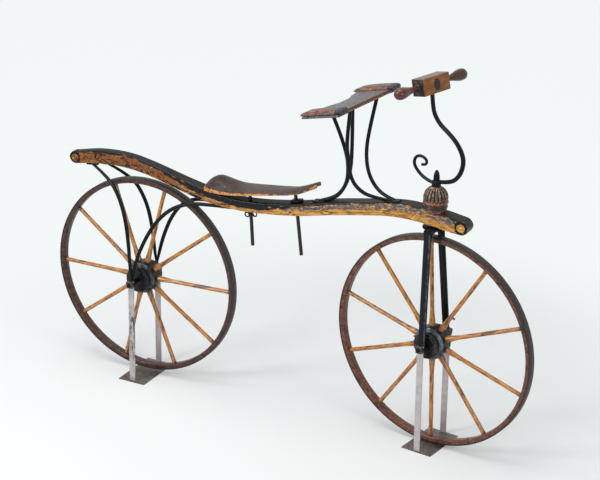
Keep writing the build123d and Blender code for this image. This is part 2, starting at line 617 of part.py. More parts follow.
def make_bracket(beam, screw_bore):
    """Iron block on the beam under the front of the saddle."""
    x = FRONT_SCREW_SHARE * WHEELBASE
    z = edge_height(BEAM_TOP_SHARES, x)
    block = Pos(x, 0, z) * Box(BRACKET_LENGTH, BRACKET_WIDTH, BRACKET_HEIGHT)
    block -= beam
    block -= screw_place(FRONT_SCREW_SHARE, FRONT_SCREW_LEAN) * Cylinder(screw_bore, BEAM_TOP_HEIGHT)
    return max(block.solids(), key=lambda s: s.center().Z)


def make_wing_nut(beam):
    """Wing nut with two curled ears on the rear screw, tight under the beam."""
    x = REAR_SCREW_SHARE * WHEELBASE
    top = edge_height(BEAM_BOTTOM_SHARES, x)
    nut = Pos(x, 0, top) * Cylinder(WING_NUT_RADIUS, 2 * WING_NUT_HEIGHT)
    for along, down in WING_EAR_SHARES:
        ear = Pos(x + along * (WING_NUT_RADIUS + WING_RING_RADIUS), 0, top - down * WING_NUT_HEIGHT) * Rot(
            90, 0, 0) * Torus(WING_RING_RADIUS, WING_WIRE_RADIUS)
        nut += ear
    nut -= beam
    nut -= screw_place(REAR_SCREW_SHARE, REAR_SCREW_LEAN) * Cylinder(SCREW_RADIUS + SEAT_GAP, BEAM_TOP_HEIGHT)
    return min(nut.solids(), key=lambda s: s.center().Z)


def armrest_place():
    """Middle of the armrest's top, its own axes turned and tilted up in front."""
    middle = Pos(ARMREST_SHARE * WHEELBASE, 0, ARMREST_HEIGHT)
    return middle * Rot(0, 0, ARMREST_TURN) * Rot(0, -ARMREST_TILT, 0)


def board_outline():
    """Yoke outline of the armrest, seen from above."""
    half = [(a * WING_LENGTH, b * ARMREST_SPAN / 2) for a, b in BOARD_SHARES]
    points = half + [(x, -y) for x, y in reversed(half[1:-1])]
    return make_face(Polyline(*points, close=True))


def make_board():
    """Yoke-shaped board that the irons carry."""
    board = Pos(0, 0, -PAD_THICKNESS - BOARD_THICKNESS) * extrude(board_outline(), amount=BOARD_THICKNESS)
    return armrest_place() * chamfer(board.edges().filter_by(Axis.Z), BOARD_CORNER / 2)


def make_pad():
    """Middle pad between the wings, plain and closed."""
    length = ARMREST_SPAN - 2 * WING_WIDTH
    pad = Pos(0, 0, -PAD_THICKNESS) * extrude(board_outline(), amount=PAD_THICKNESS)
    pad &= Box(2 * WING_LENGTH, length - SEAT_GAP, 4 * PAD_THICKNESS)
    front = pad.edges().filter_by(Axis.Y).group_by(Axis.Z)[-1].sort_by(Axis.X)
    return armrest_place() * chamfer([front[0], front[-1]], PAD_EDGE)


def make_wing(side):
    """Pad of one wing, rounded in front and thin behind."""
    top = [(a * WING_LENGTH, b * WING_RISE) for a, b in WING_SHARES]
    points = top + [(top[-1][0], -PAD_THICKNESS), (top[0][0], -PAD_THICKNESS)]
    wing = extrude(Plane.XZ * make_face(Polyline(*points, close=True)), amount=WING_WIDTH / 2, both=True)
    return armrest_place() * Pos(0, side * (ARMREST_SPAN - WING_WIDTH) / 2, 0) * wing


def make_iron(side, foot_share, shares, head, beam):
    """Bent iron from its palm on the beam up to a round pad under the board."""
    foot_x = foot_share * WHEELBASE
    foot_z = edge_height(BEAM_TOP_SHARES, foot_x) + IRON_RADIUS / 2
    foot_y = side * (PALM_WIDTH / 2 + SEAT_GAP)
    under = armrest_place() * Pos(
        head[0] * WING_LENGTH, side * head[1] * ARMREST_SPAN / 2, -PAD_THICKNESS - BOARD_THICKNESS)
    top = under.position
    reach = ARMREST_SHARE * WHEELBASE - foot_x
    points = [(foot_x, foot_y, foot_z)]
    for along, up, out in shares:
        bend_y = foot_y + out * (top.Y - foot_y)
        points.append((foot_x + along * reach, bend_y, foot_z + up * (top.Z - foot_z)))
    points.append((top.X, top.Y, top.Z + IRON_RADIUS))
    iron = rod(points, IRON_RADIUS)
    iron += under * Pos(0, 0, -IRON_PAD_THICKNESS / 2) * Cylinder(IRON_PAD_RADIUS, IRON_PAD_THICKNESS)
    iron -= under * Pos(0, 0, 2 * IRON_RADIUS) * Box(8 * IRON_RADIUS, 8 * IRON_RADIUS, 4 * IRON_RADIUS)
    iron += Pos(foot_x, foot_y, foot_z - IRON_RADIUS / 2) * Box(PALM_LENGTH, PALM_WIDTH, PALM_THICKNESS)
    iron -= beam
    iron -= Pos(foot_x, 0, foot_z) * Cylinder(BOLT_HEAD_RADIUS + SEAT_GAP, 8 * PALM_THICKNESS)
    return max(iron.solids(), key=lambda s: s.volume)


def make_bolts(beam):
    """Through bolts that hold the irons' feet to the beam."""
    bolts = []
    for share in (BACK_IRON_FOOT_SHARE, FRONT_IRON_FOOT_SHARE):
        x = share * WHEELBASE
        top = edge_height(BEAM_TOP_SHARES, x)
        bottom = edge_height(BEAM_BOTTOM_SHARES, x)
        shank = Cylinder(BOLT_SHANK_RADIUS, top - bottom + 2 * BOLT_HEAD_HEIGHT)
        shank = Pos(x, 0, (top + bottom) / 2) * shank
        heads = Pos(x, 0, top) * Cylinder(BOLT_HEAD_RADIUS, 2 * BOLT_HEAD_HEIGHT)
        heads += Pos(x, 0, bottom) * Cylinder(BOLT_HEAD_RADIUS, 2 * BOLT_HEAD_HEIGHT)
        bolts.append((heads - beam) + shank)
    return Compound(bolts)


def rear_wheel_nodes():
    """Rear wheel, turning on its axle."""
    place = (REAR_AXLE_X, REAR_AXLE_Z)
    return {
        "rear_tyre": make_tyre(REAR_RADIUS, *place),
        "rear_felloe": make_felloe(REAR_RADIUS, *place),
        "rear_spokes": make_spokes(REAR_RADIUS, REAR_SPOKE_ANGLES, *place, REAR_NAVE_SHIFT),
        "rear_nave": make_nave(*place, REAR_NAVE_SHIFT),
    }


def front_wheel_nodes():
    """Front wheel, turned with the fork."""
    place = (FRONT_AXLE_X, FRONT_AXLE_Z)
    nodes = {
        "front_tyre": make_tyre(FRONT_RADIUS, *place),
        "front_felloe": make_felloe(FRONT_RADIUS, *place),
        "front_spokes": make_spokes(FRONT_RADIUS, FRONT_SPOKE_ANGLES, *place, FRONT_NAVE_SHIFT),
        "front_nave": make_nave(*place, FRONT_NAVE_SHIFT),
    }
    return {name: turned(shape) for name, shape in nodes.items()}


def steering_nodes():
    """Everything that turns with the fork, the front stand included."""
    stem = make_stem()
    nodes = {
        "steering_stem": stem,
        "steering_lever": make_lever_bar(LEVER_SHARES, LEVER_RADIUS, stem),
        "lever_scroll": make_lever_bar(SCROLL_SHARES, SCROLL_RADIUS, stem),
        "handle_block": make_block(),
        "handle_inlay": make_inlay(),
        "handle_grip_right": make_grip(-1),
        "handle_grip_left": make_grip(1),
        "fork_crown": make_crown(),
        "front_axle": make_axle(FRONT_AXLE_X, FRONT_AXLE_Z, 0, FRONT_UPRIGHT_REACH),
        "front_stand_plate": make_plate(
            FRONT_AXLE_X, FRONT_PLATE_LENGTH, 0, FRONT_UPRIGHT_REACH + UPRIGHT_THICKNESS + FRONT_PLATE_MARGIN),
    }
    for name, side in (("right", -1), ("left", 1)):
        nodes["fork_blade_" + name] = make_blade(side)
        nodes["front_stand_upright_" + name] = make_upright(
            FRONT_AXLE_X, FRONT_AXLE_Z, side * FRONT_UPRIGHT_REACH, side)
    return {name: turned(shape) for name, shape in nodes.items()}


def frame_nodes():
    """Beam and what is fixed to it, the rear stand included."""
    beam = make_beam()
    saddle = make_saddle()
    nodes = {
        "beam": beam,
        "head_rings": make_head_rings(beam),
        "head_dome": make_dome(),
        "saddle": saddle,
        "saddle_bracket": make_bracket(beam, SCREW_RADIUS + SEAT_GAP),
        "saddle_screw_back": make_screw(REAR_SCREW_SHARE, REAR_SCREW_LEAN, saddle),
        "saddle_screw_front": make_screw(FRONT_SCREW_SHARE, FRONT_SCREW_LEAN, saddle),
        "saddle_wing_nut": make_wing_nut(beam),
        "armrest_board": make_board(),
        "armrest_pad": make_pad(),
        "armrest_bolts": make_bolts(beam),
        "rear_axle": make_axle(REAR_AXLE_X, REAR_AXLE_Z, REAR_AXLE_SHIFT, REAR_UPRIGHT_REACH),
        "rear_stand_plate": make_plate(REAR_AXLE_X, REAR_PLATE_LENGTH, REAR_AXLE_SHIFT,
                                       REAR_UPRIGHT_REACH + UPRIGHT_THICKNESS + REAR_PLATE_MARGIN),
    }
    irons = {
        "right": (BACK_IRON_RIGHT_SHARES, BACK_IRON_RIGHT_HEAD_SHARES, FRONT_IRON_RIGHT_SHARES,
                  FRONT_IRON_RIGHT_HEAD_SHARES),
        "left": (BACK_IRON_LEFT_SHARES, BACK_IRON_LEFT_HEAD_SHARES, FRONT_IRON_LEFT_SHARES,
                 FRONT_IRON_LEFT_HEAD_SHARES),
    }
    stays = {
        "right": (BACK_STAY_RIGHT_FOOT_SHARE, BACK_STAY_RIGHT_SHARES, FRONT_STAY_RIGHT_SHARES),
        "left": (BACK_STAY_LEFT_FOOT_SHARE, BACK_STAY_LEFT_SHARES, FRONT_STAY_LEFT_SHARES),
    }
    for name, side in (("right", -1), ("left", 1)):
        nodes["armrest_wing_" + name] = make_wing(side)
        back_iron, back_head, front_iron, front_head = irons[name]
        back_foot, back_stay, front_stay = stays[name]
        nodes["armrest_iron_back_" + name] = make_iron(side, BACK_IRON_FOOT_SHARE, back_iron, back_head, beam)
        nodes["armrest_iron_front_" + name] = make_iron(
            side, FRONT_IRON_FOOT_SHARE, front_iron, front_head, beam)
        nodes["back_stay_" + name] = make_stay(side, back_foot, back_stay, STAY_EYE_THICKNESS, beam)
        nodes["front_stay_" + name] = make_stay(side, FRONT_STAY_FOOT_SHARE, front_stay, 0, beam)
        nodes["rear_stand_upright_" + name] = make_upright(
            REAR_AXLE_X, REAR_AXLE_Z, REAR_AXLE_SHIFT + side * REAR_UPRIGHT_REACH, side)
    return nodes


os.makedirs("parts", exist_ok=True)
for group in (frame_nodes(), steering_nodes(), front_wheel_nodes(), rear_wheel_nodes()):
    for node, shape in group.items():
        export_step(shape, "parts/" + node + ".step")
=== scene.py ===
"""Looks of a wooden running machine of about 1820, parked on two low display stands.

Lengths are written in millimetres and turned to metres where a mesh is made. +X is forward,
+Y the rider's left, +Z up. The origin lies on the floor, midway between the axles.
"""

from __future__ import annotations

import json
import logging
import math
from dataclasses import dataclass
from enum import Enum
from typing import Callable, Sequence

import bmesh
import bpy
from mathutils import Matrix, Vector

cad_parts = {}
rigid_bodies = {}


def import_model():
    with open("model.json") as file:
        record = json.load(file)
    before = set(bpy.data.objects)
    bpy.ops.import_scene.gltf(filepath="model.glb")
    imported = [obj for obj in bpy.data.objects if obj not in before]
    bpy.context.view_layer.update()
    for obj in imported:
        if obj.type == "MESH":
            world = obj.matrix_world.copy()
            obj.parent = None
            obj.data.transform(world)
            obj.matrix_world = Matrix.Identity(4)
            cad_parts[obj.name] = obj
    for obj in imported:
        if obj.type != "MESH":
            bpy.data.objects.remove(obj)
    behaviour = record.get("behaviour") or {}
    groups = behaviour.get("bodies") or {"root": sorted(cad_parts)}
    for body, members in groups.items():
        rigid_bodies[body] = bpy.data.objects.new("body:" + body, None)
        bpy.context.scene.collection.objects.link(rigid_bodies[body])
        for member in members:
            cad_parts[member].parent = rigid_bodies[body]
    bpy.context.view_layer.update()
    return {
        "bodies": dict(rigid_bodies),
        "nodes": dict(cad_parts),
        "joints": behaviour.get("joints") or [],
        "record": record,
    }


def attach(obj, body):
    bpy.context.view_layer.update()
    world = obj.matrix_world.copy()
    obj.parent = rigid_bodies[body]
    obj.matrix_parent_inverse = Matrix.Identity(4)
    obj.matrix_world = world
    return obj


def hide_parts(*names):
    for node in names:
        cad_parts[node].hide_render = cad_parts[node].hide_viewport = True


LOG = logging.getLogger("running_machine")
MM = 0.001
WELD = 1e-6  # metres within which two points are one
Table = Sequence[tuple[float, ...]]
Spot = tuple[float, float, float]


class Body(Enum):
    """Rigid bodies that pieces ride on."""

    FRAME = "frame"
    STEERING = "steering"
    FRONT_WHEEL = "front_wheel"
    REAR_WHEEL = "rear_wheel"


class Coordinates(Enum):
    """Where a finish reads its pattern from."""

    OBJECT = "object"
    GRAIN = "grain"


class Pattern(Enum):
    """Shapes that a layer of a finish can have."""

    CLOUD = "cloud"
    CRACKS = "cracks"


# ---------------------------------------------------------------- colours and nodes

# Sockets of a Mix node, which go by number: its share, two plain values, two colours and the
# colour that comes out.
SHARE, VALUE_A, VALUE_B, COLOUR_A, COLOUR_B = 0, 2, 3, 6, 7
MIXED_VALUE, MIXED_COLOUR = 0, 2


def linear(code: str) -> tuple[float, float, float, float]:
    """Turns an sRGB hex colour to the linear values that a shader takes.

    Args:
        code: Six hex digits, with or without a leading hash.

    Returns:
        Red, green, blue and a full alpha.
    """
    digits = code.lstrip("#")
    channels = []
    for k in (0, 2, 4):
        value = int(digits[k:k + 2], 16) / 255
        channels.append(value / 12.92 if value <= 0.04045 else ((value + 0.055) / 1.055) ** 2.4)
    return (channels[0], channels[1], channels[2], 1.0)


def add_node(tree: bpy.types.NodeTree, kind: str, settings: dict | None = None,
             values: dict | None = None, links: dict | None = None) -> bpy.types.Node:
    """Adds a shader node with its settings, socket values and incoming links.

    Args:
        tree: Node tree that gets the node.
        kind: Type name of the node.
        settings: Attribute names and values.
        values: Input sockets and their default values.
        links: Input sockets and the output sockets that feed them.

    Returns:
        The new node.
    """
    node = tree.nodes.new(kind)
    for key, value in (settings or {}).items():
        setattr(node, key, value)
    for key, value in (values or {}).items():
        node.inputs[key].default_value = value
    for key, source in (links or {}).items():
        tree.links.new(source, node.inputs[key])
    return node


def new_material(name: str) -> tuple[bpy.types.Material, bpy.types.NodeTree]:
    """Makes an empty material.

    Args:
        name: Its name.

    Returns:
        The material and its node tree.
    """
    made = bpy.data.materials.new(name)
    made.use_nodes = True
    made.node_tree.nodes.clear()
    return made, made.node_tree


@dataclass(frozen=True)
class Layer:
    """One patchy layer over a finish: dirt, bare wood, rust, a worn edge.

    Attributes:
        colour: Hex colour of the layer.
        size_mm: Size of its patches.
        level: Pattern value where the layer starts to show.
        soft: How gradually it starts.
        rough: Roughness where it shows.
        pattern: Shape of the patches.
        stretch: How many times longer the patches are along X than across.
        where: Attribute that steers the layer, or an empty name.
        weight: How strongly that attribute steers it.
        relief_mm: Height of the layer over what it covers.
        strength: Cover where it shows fully.
    """

    colour: str
    size_mm: float
    level: float
    soft: float = 0.1
    rough: float = 0.5
    pattern: Pattern = Pattern.CLOUD
    stretch: float = 1.0
    where: str = ""
    weight: float = 1.0
    relief_mm: float = 0.0
    strength: float = 1.0


@dataclass(frozen=True)
class Finish:
    """A surface of one real material, two tones of it mixed by its grain, with layers over it.

    Attributes:
        name: Name of the material.
        light: Hex colour of its light tone.
        dark: Hex colour of its dark tone.
        grain_mm: Size of its grain.
        stretch: How many times longer the grain is along X than across.
        rough: Roughness.
        metallic: Share of bare metal.
        specular: Strength of its plain shine.
        coat: Weight of a clear coat, such as polish.
        bump_mm: Height of the grain.
        contrast: Range of the grain's noise over which the two tones mix; the smaller, the harder.
        source: Where the pattern is read from.
        layers: What lies over it, from below.
    """

    name: str
    light: str
    dark: str
    grain_mm: float
    stretch: float = 1.0
    rough: float = 0.5
    metallic: float = 0.0
    specular: float = 0.5
    coat: float = 0.0
    bump_mm: float = 0.3
    contrast: float = 0.35
    source: Coordinates = Coordinates.OBJECT
    layers: tuple[Layer, ...] = ()

    def material(self) -> bpy.types.Material:
        """Returns the finish's material, building it on first use."""
        found = bpy.data.materials.get(self.name)
        return found if found is not None else self.build()

    def stretched(self, tree: bpy.types.NodeTree, place: bpy.types.NodeSocket,
                  stretch: float) -> bpy.types.NodeSocket:
        """Scales coordinates so that a pattern is drawn out along X."""
        return add_node(tree, "ShaderNodeMapping", {"vector_type": "POINT"},
                        {"Scale": (1 / stretch, 1, 1)}, {"Vector": place}).outputs["Vector"]

    def pattern(self, tree: bpy.types.NodeTree, place: bpy.types.NodeSocket,
                layer: Layer) -> bpy.types.NodeSocket:
        """Builds the grey pattern of one layer.

        Args:
            tree: Node tree of the material.
            place: Coordinates in metres.
            layer: The layer whose pattern is wanted.

        Returns:
            A socket between 0 and 1.
        """
        spot = {"Vector": self.stretched(tree, place, layer.stretch)}
        scale = 1000 / layer.size_mm
        if layer.pattern is Pattern.CLOUD:
            return add_node(tree, "ShaderNodeTexNoise", {}, {
                "Scale": scale, "Detail": 7.0, "Roughness": 0.62}, spot).outputs["Fac"]
        edge = add_node(tree, "ShaderNodeTexVoronoi", {"feature": "DISTANCE_TO_EDGE"}, {
            "Scale": scale}, spot).outputs["Distance"]
        return add_node(tree, "ShaderNodeMath", {"operation": "SUBTRACT"}, {0: 1.0},
                        {1: edge}).outputs["Value"]

    def cover(self, tree: bpy.types.NodeTree, place: bpy.types.NodeSocket,
              layer: Layer) -> bpy.types.NodeSocket:
        """Builds the mask of one layer.

        Args:
            tree: Node tree of the material.
            place: Coordinates in metres.
            layer: The layer that is laid on.

        Returns:
            A socket of how much the layer covers.
        """
        value = self.pattern(tree, place, layer)
        if layer.where:
            steer = add_node(tree, "ShaderNodeAttribute", {"attribute_name": layer.where}).outputs["Fac"]
            value = add_node(tree, "ShaderNodeMath", {"operation": "MULTIPLY_ADD"}, {1: layer.weight},
                             {0: steer, 2: value}).outputs["Value"]
        return add_node(tree, "ShaderNodeMapRange", {"interpolation_type": "SMOOTHSTEP"}, {
            "From Min": layer.level, "From Max": layer.level + layer.soft, "To Max": layer.strength},
            {"Value": value}).outputs["Result"]

    def build(self) -> bpy.types.Material:
        """Builds the material: grain first, then each layer over the one before.

        Returns:
            The new material.
        """
        made, tree = new_material(self.name)
        if self.source is Coordinates.GRAIN:
            place = add_node(tree, "ShaderNodeAttribute", {"attribute_name": "grain"}).outputs["Vector"]
        else:
            place = add_node(tree, "ShaderNodeTexCoord").outputs["Object"]
        grain = add_node(tree, "ShaderNodeTexNoise", {}, {
            "Scale": 1000 / self.grain_mm, "Detail": 6.0, "Roughness": 0.6},
            {"Vector": self.stretched(tree, place, self.stretch)}).outputs["Fac"]
        spread = add_node(tree, "ShaderNodeMapRange", {"interpolation_type": "SMOOTHSTEP"}, {
            "From Min": 0.5 - self.contrast / 2, "From Max": 0.5 + self.contrast / 2}, {"Value": grain})
        colour = add_node(tree, "ShaderNodeMix", {"data_type": "RGBA"}, {
            COLOUR_A: linear(self.dark), COLOUR_B: linear(self.light)},
            {SHARE: spread.outputs["Result"]}).outputs[MIXED_COLOUR]
        height = add_node(tree, "ShaderNodeMath", {"operation": "MULTIPLY"}, {1: self.bump_mm * MM},
                          {0: grain}).outputs["Value"]
        rough = None
        for layer in self.layers:
            mask = self.cover(tree, place, layer)
            colour = add_node(tree, "ShaderNodeMix", {"data_type": "RGBA"}, {COLOUR_B: linear(layer.colour)},
                              {SHARE: mask, COLOUR_A: colour}).outputs[MIXED_COLOUR]
            step = add_node(tree, "ShaderNodeMix", {"data_type": "FLOAT"}, {
                VALUE_A: self.rough, VALUE_B: layer.rough}, {SHARE: mask})
            if rough is not None:
                tree.links.new(rough, step.inputs[VALUE_A])
            rough = step.outputs[MIXED_VALUE]
            if layer.relief_mm:
                height = add_node(tree, "ShaderNodeMath", {"operation": "MULTIPLY_ADD"}, {
                    1: layer.relief_mm * MM}, {0: mask, 2: height}).outputs["Value"]
        bump = add_node(tree, "ShaderNodeBump", {}, {"Strength": 1.0, "Distance": 1.0}, {"Height": height})
        shader = add_node(tree, "ShaderNodeBsdfPrincipled", {}, {
            "Roughness": self.rough, "Metallic": self.metallic, "Specular IOR Level": self.specular,
            "Coat Weight": self.coat, "Coat Roughness": 0.25},
            {"Base Color": colour, "Normal": bump.outputs["Normal"]})
        if rough is not None:
            tree.links.new(rough, shader.inputs["Roughness"])
        add_node(tree, "ShaderNodeOutputMaterial", {}, {}, {"Surface": shader.outputs["BSDF"]})
        return made


# ---------------------------------------------------------------- finishes

# Oak under an ochre oil paint, worn by hands and coats: the eye gets broken yellow under blue-black
# that has flaked off in ragged patches, orange-brown towards the tail, fine cracks, pale flecks painted as
# highlights and a painted shadow low on the sides over the rear wheel.
BEAM_OAK = Finish(
    "ochre_painted_oak", "#DCA558", "#9A6429", 8.0, stretch=4.0, rough=0.40, specular=0.22, bump_mm=0.5,
    contrast=0.34, source=Coordinates.GRAIN, layers=(
        Layer("#824D24", 16.0, 0.80, 0.22, 0.5, stretch=2.5, where="ends", weight=0.55),
        Layer("#5B371B", 7.0, 0.57, 0.07, 0.5, stretch=3.0, relief_mm=-0.1),
        # Pale flecks painted as highlights.
        Layer("#EBC27C", 7.0, 0.60, 0.06, 0.42, stretch=2.0, strength=0.8),
        Layer("#29190F", 9.0, 0.92, 0.08, 0.5, stretch=1.8, where="ends", weight=0.40, strength=0.9),
        Layer("#57616B", 12.0, 0.795, 0.02, 0.42, stretch=1.5, where="flaked", weight=0.31, relief_mm=0.15,
              strength=0.9),
        Layer("#4A535C", 5.0, 0.83, 0.02, 0.42, stretch=1.4, where="flaked", weight=0.31, relief_mm=0.1,
              strength=0.85),
        # Blue-black paint, and the painted shadow low on the sides over the rear wheel.
        Layer("#12151A", 14.0, 0.94, 0.05, 0.30, stretch=2.2, where="grime_and_shade", weight=0.60, relief_mm=0.2),
        Layer("#1B1714", 5.0, 0.63, 0.03, 0.5, stretch=2.5, relief_mm=-0.1),
        Layer("#17120F", 6.0, 0.90, 0.20, 0.5, where="top", weight=0.8),
        Layer("#D2A566", 7.0, 0.94, 0.12, 0.5, stretch=2.0, where="wear_and_highlight", weight=0.5, strength=0.7),
        Layer("#100D0B", 30.0, 0.985, 0.01, 0.7, Pattern.CRACKS, stretch=12.0, relief_mm=-0.5)))

# Turned ash spokes in the same paint, with pale streaks painted as highlights, browned towards the nave and the
# rim.
SPOKE_ASH = Finish(
    "ochre_painted_ash", "#D0913F", "#8A4C1A", 4.0, stretch=7.0, rough=0.30, specular=0.5, coat=0.3,
    bump_mm=0.25, contrast=0.3, source=Coordinates.GRAIN, layers=(
        Layer("#54301A", 9.0, 0.55, 0.06, 0.45, stretch=4.0),
        # Pale streaks painted as highlights.
        Layer("#E3BC80", 5.0, 0.62, 0.05, 0.4, stretch=5.0, strength=0.8),
        Layer("#23170F", 4.0, 0.64, 0.04, 0.5, stretch=3.0),
        Layer("#33221A", 10.0, 0.96, 0.45, 0.45, stretch=2.0, where="grime_and_shade", weight=0.75)))

# Steamed ash rim, stained red-brown and dulled by dust, with orange patches that are partly rubbed wood and
# partly painted highlight.
FELLOE_ASH = Finish(
    "stained_ash_rim", "#5A3226", "#33201B", 9.0, rough=0.36, specular=0.4, bump_mm=0.3, layers=(
        # Orange patches, partly rubbed wood and partly painted highlight.
        Layer("#1B1412", 16.0, 0.52, 0.08, 0.45), Layer("#9A6240", 9.0, 0.64, 0.05, 0.4, strength=0.8),
        Layer("#120E0D", 4.0, 0.64, 0.05, 0.55)))
# A lighter copy of the rim for the front wheel, whose lighter tones and orange patches are partly rubbed wood
# and partly painted highlight.
FELLOE_RUBBED_AND_LIT = Finish(
    "rubbed_and_lit_ash_rim", "#7E4A31", "#472A1F", 9.0, rough=0.34, specular=0.4, bump_mm=0.3, layers=(
        Layer("#1F1613", 20.0, 0.53, 0.10, 0.45), Layer("#B97A4E", 10.0, 0.61, 0.06, 0.4, strength=0.8),
        Layer("#120E0D", 4.0, 0.64, 0.05, 0.55)))

# Hand-forged hoop, brown with rust that has been oiled: dark, dull, pitted.
TYRE_IRON = Finish(
    "rusted_hoop_iron", "#3A2E29", "#211B18", 7.0, rough=0.5, metallic=0.3, bump_mm=0.35, layers=(
        Layer("#54402F", 11.0, 0.60, 0.08, 0.65), Layer("#131010", 4.0, 0.62, 0.05, 0.5)))

# Blackened wrought iron with a thin oil sheen, browner where it is rubbed.
BLACK_IRON = Finish(
    "blackened_wrought_iron", "#0C0D10", "#050507", 8.0, rough=0.34, specular=0.16, bump_mm=0.15,
    layers=(Layer("#191A1E", 9.0, 0.62, 0.12, 0.40), Layer("#1C130E", 5.0, 0.66, 0.06, 0.5)))

# Adjusting screws and nuts, brown-black with pale flecks where the thread has been turned.
SCREW_IRON = Finish(
    "browned_screw_iron", "#2C211C", "#15100E", 5.0, rough=0.42, metallic=0.3, bump_mm=0.25, layers=(
        Layer("#B9A48A", 3.0, 0.94, 0.06, 0.4, where="wear_and_highlight", weight=0.32),
        Layer("#0C0A09", 4.0, 0.60, 0.05, 0.5)))

# Square nuts, the same iron handled more: paler brown-grey, with dark pits.
NUT_IRON = Finish(
    "browned_nut_iron", "#5C4E48", "#2C2420", 6.0, rough=0.42, metallic=0.3, bump_mm=0.3, layers=(
        Layer("#85786F", 5.0, 0.60, 0.10, 0.42), Layer("#15110F", 4.0, 0.60, 0.05, 0.5)))

# Black blade whose outer face carries a slate-blue painted highlight on its front part, standing for a facet
# that catches the light.
BLADE_IRON = Finish(
    "lit_facet_wrought_iron", "#121419", "#08090B", 10.0, rough=0.36, specular=0.2, bump_mm=0.15,
    # Slate-blue painted highlight on the front part of the outer face.
    layers=(Layer("#404857", 14.0, 0.80, 0.28, 0.38, where="wear_and_highlight", weight=0.5),
            Layer("#15110F", 5.0, 0.66, 0.06, 0.5)))

# Blue-black paint over turned elm, with a slate-pale painted highlight on the drum's edge and red-brown on the
# worn end rings.
NAVE_PAINT = Finish(
    "blue_black_painted_elm", "#15181F", "#08090B", 7.0, rough=0.32, specular=0.25, bump_mm=0.25, layers=(
        Layer("#3B3430", 6.0, 0.62, 0.10, 0.5),
        # Slate-pale painted highlight on the drum.
        Layer("#76808C", 16.0, 0.78, 0.40, 0.30, where="wear_and_highlight", weight=0.5),
        Layer("#463A38", 7.0, 0.90, 0.25, 0.36, where="ends", weight=0.48)))

# Cast and chased bronze, browned all over and grey-tan on the proud ribs.
DOME_BRONZE = Finish(
    "browned_bronze", "#4A382D", "#261C17", 6.0, rough=0.40, metallic=0.45, bump_mm=0.25, layers=(
        Layer("#94806C", 8.0, 0.92, 0.30, 0.36, where="wear_and_highlight", weight=0.55),
        Layer("#120E0C", 5.0, 0.98, 0.25, 0.6, where="grime_and_shade", weight=0.75)))

# Turned bronze rings under the dome: two rubbed to orange, one blackened between them.
RING_ORANGE = Finish(
    "rubbed_bronze_ring", "#A05F38", "#5A3220", 6.0, rough=0.36, metallic=0.4, bump_mm=0.2,
    layers=(Layer("#17110F", 7.0, 0.56, 0.10, 0.5),))
RING_BLACK = Finish(
    "blackened_ring", "#1F2126", "#0F0F11", 6.0, rough=0.34, metallic=0.2, bump_mm=0.2,
    layers=(Layer("#5C4232", 8.0, 0.62, 0.10, 0.45),))

# Vegetable-tanned hide over the saddle shell: dark, with pale streaks that are partly wear and partly painted
# highlight, near black at the hump, bare and orange along its lower edges.
SADDLE_HIDE = Finish(
    "dark_mottled_hide", "#4E3528", "#291A14", 9.0, stretch=3.0, rough=0.40, specular=0.35, bump_mm=0.4,
    contrast=0.3, source=Coordinates.GRAIN, layers=(
        Layer("#191413", 16.0, 0.54, 0.10, 0.45, stretch=2.5),
        # Pale streaks, partly wear and partly painted highlight.
        Layer("#94745A", 5.0, 0.63, 0.06, 0.4, stretch=3.0),
        Layer("#16100F", 14.0, 0.80, 0.35, 0.42, where="grime_and_shade", weight=0.6),
        Layer("#D28A3E", 9.0, 0.97, 0.10, 0.45, stretch=2.0, where="wear_and_highlight", weight=0.62),
        Layer("#0B0908", 2.2, 0.93, 0.05, 0.5, Pattern.CRACKS, relief_mm=-0.06)))

# Grey hide of the armrest, smooth and dark from coats, with orange hide at the rubbed edges and
# black creases at its fronts.
ARM_HIDE = Finish(
    "grey_rubbed_hide", "#6E6666", "#433B3B", 11.0, stretch=1.6, rough=0.36, specular=0.4, bump_mm=0.3,
    source=Coordinates.GRAIN, layers=(
        Layer("#1E1917", 15.0, 0.57, 0.10, 0.42), Layer("#857D7B", 7.0, 0.66, 0.06, 0.4),
        Layer("#8A7F7E", 12.0, 0.86, 0.20, 0.45, where="ends", weight=0.5, strength=0.8),
        Layer("#1B1614", 8.0, 0.96, 0.20, 0.4, where="grime_and_shade", weight=0.62),
        Layer("#5E2C18", 10.0, 0.86, 0.10, 0.42, where="wear_and_highlight", weight=0.62),
        Layer("#B5682C", 10.0, 1.07, 0.14, 0.34, stretch=2.5, where="wear_and_highlight", weight=0.62, strength=0.85),
        Layer("#0F0C0B", 2.4, 0.93, 0.05, 0.5, Pattern.CRACKS, relief_mm=-0.05)))

# Bare pine board under the hide, greyed by age, with its grain across and orange where it is rubbed.
ARM_BOARD = Finish(
    "greyed_pine_board", "#7A6F6E", "#443C3B", 4.0, stretch=5.0, rough=0.5, specular=0.3, bump_mm=0.3,
    source=Coordinates.GRAIN, layers=(
        Layer("#A5622F", 10.0, 0.98, 0.12, 0.5, where="wear_and_highlight", weight=0.6),
        Layer("#110E0D", 9.0, 0.57, 0.08, 0.5)))

# Pear-wood block, orange-brown in front, worn grey on top and black at its ends.
BLOCK_PEAR = Finish(
    "worn_pear_wood", "#A96A30", "#6B3D1C", 14.0, stretch=2.5, rough=0.36, specular=0.35, bump_mm=0.3,
    contrast=0.5, source=Coordinates.GRAIN, layers=(
        Layer("#2A1A11", 16.0, 0.62, 0.12, 0.45, stretch=2.5),
        Layer("#C98A48", 12.0, 0.60, 0.12, 0.4, strength=0.5),
        Layer("#6A5F5C", 12.0, 1.06, 0.30, 0.42, where="top", weight=0.82),
        Layer("#141113", 14.0, 1.00, 0.25, 0.42, where="ends", weight=0.8)))

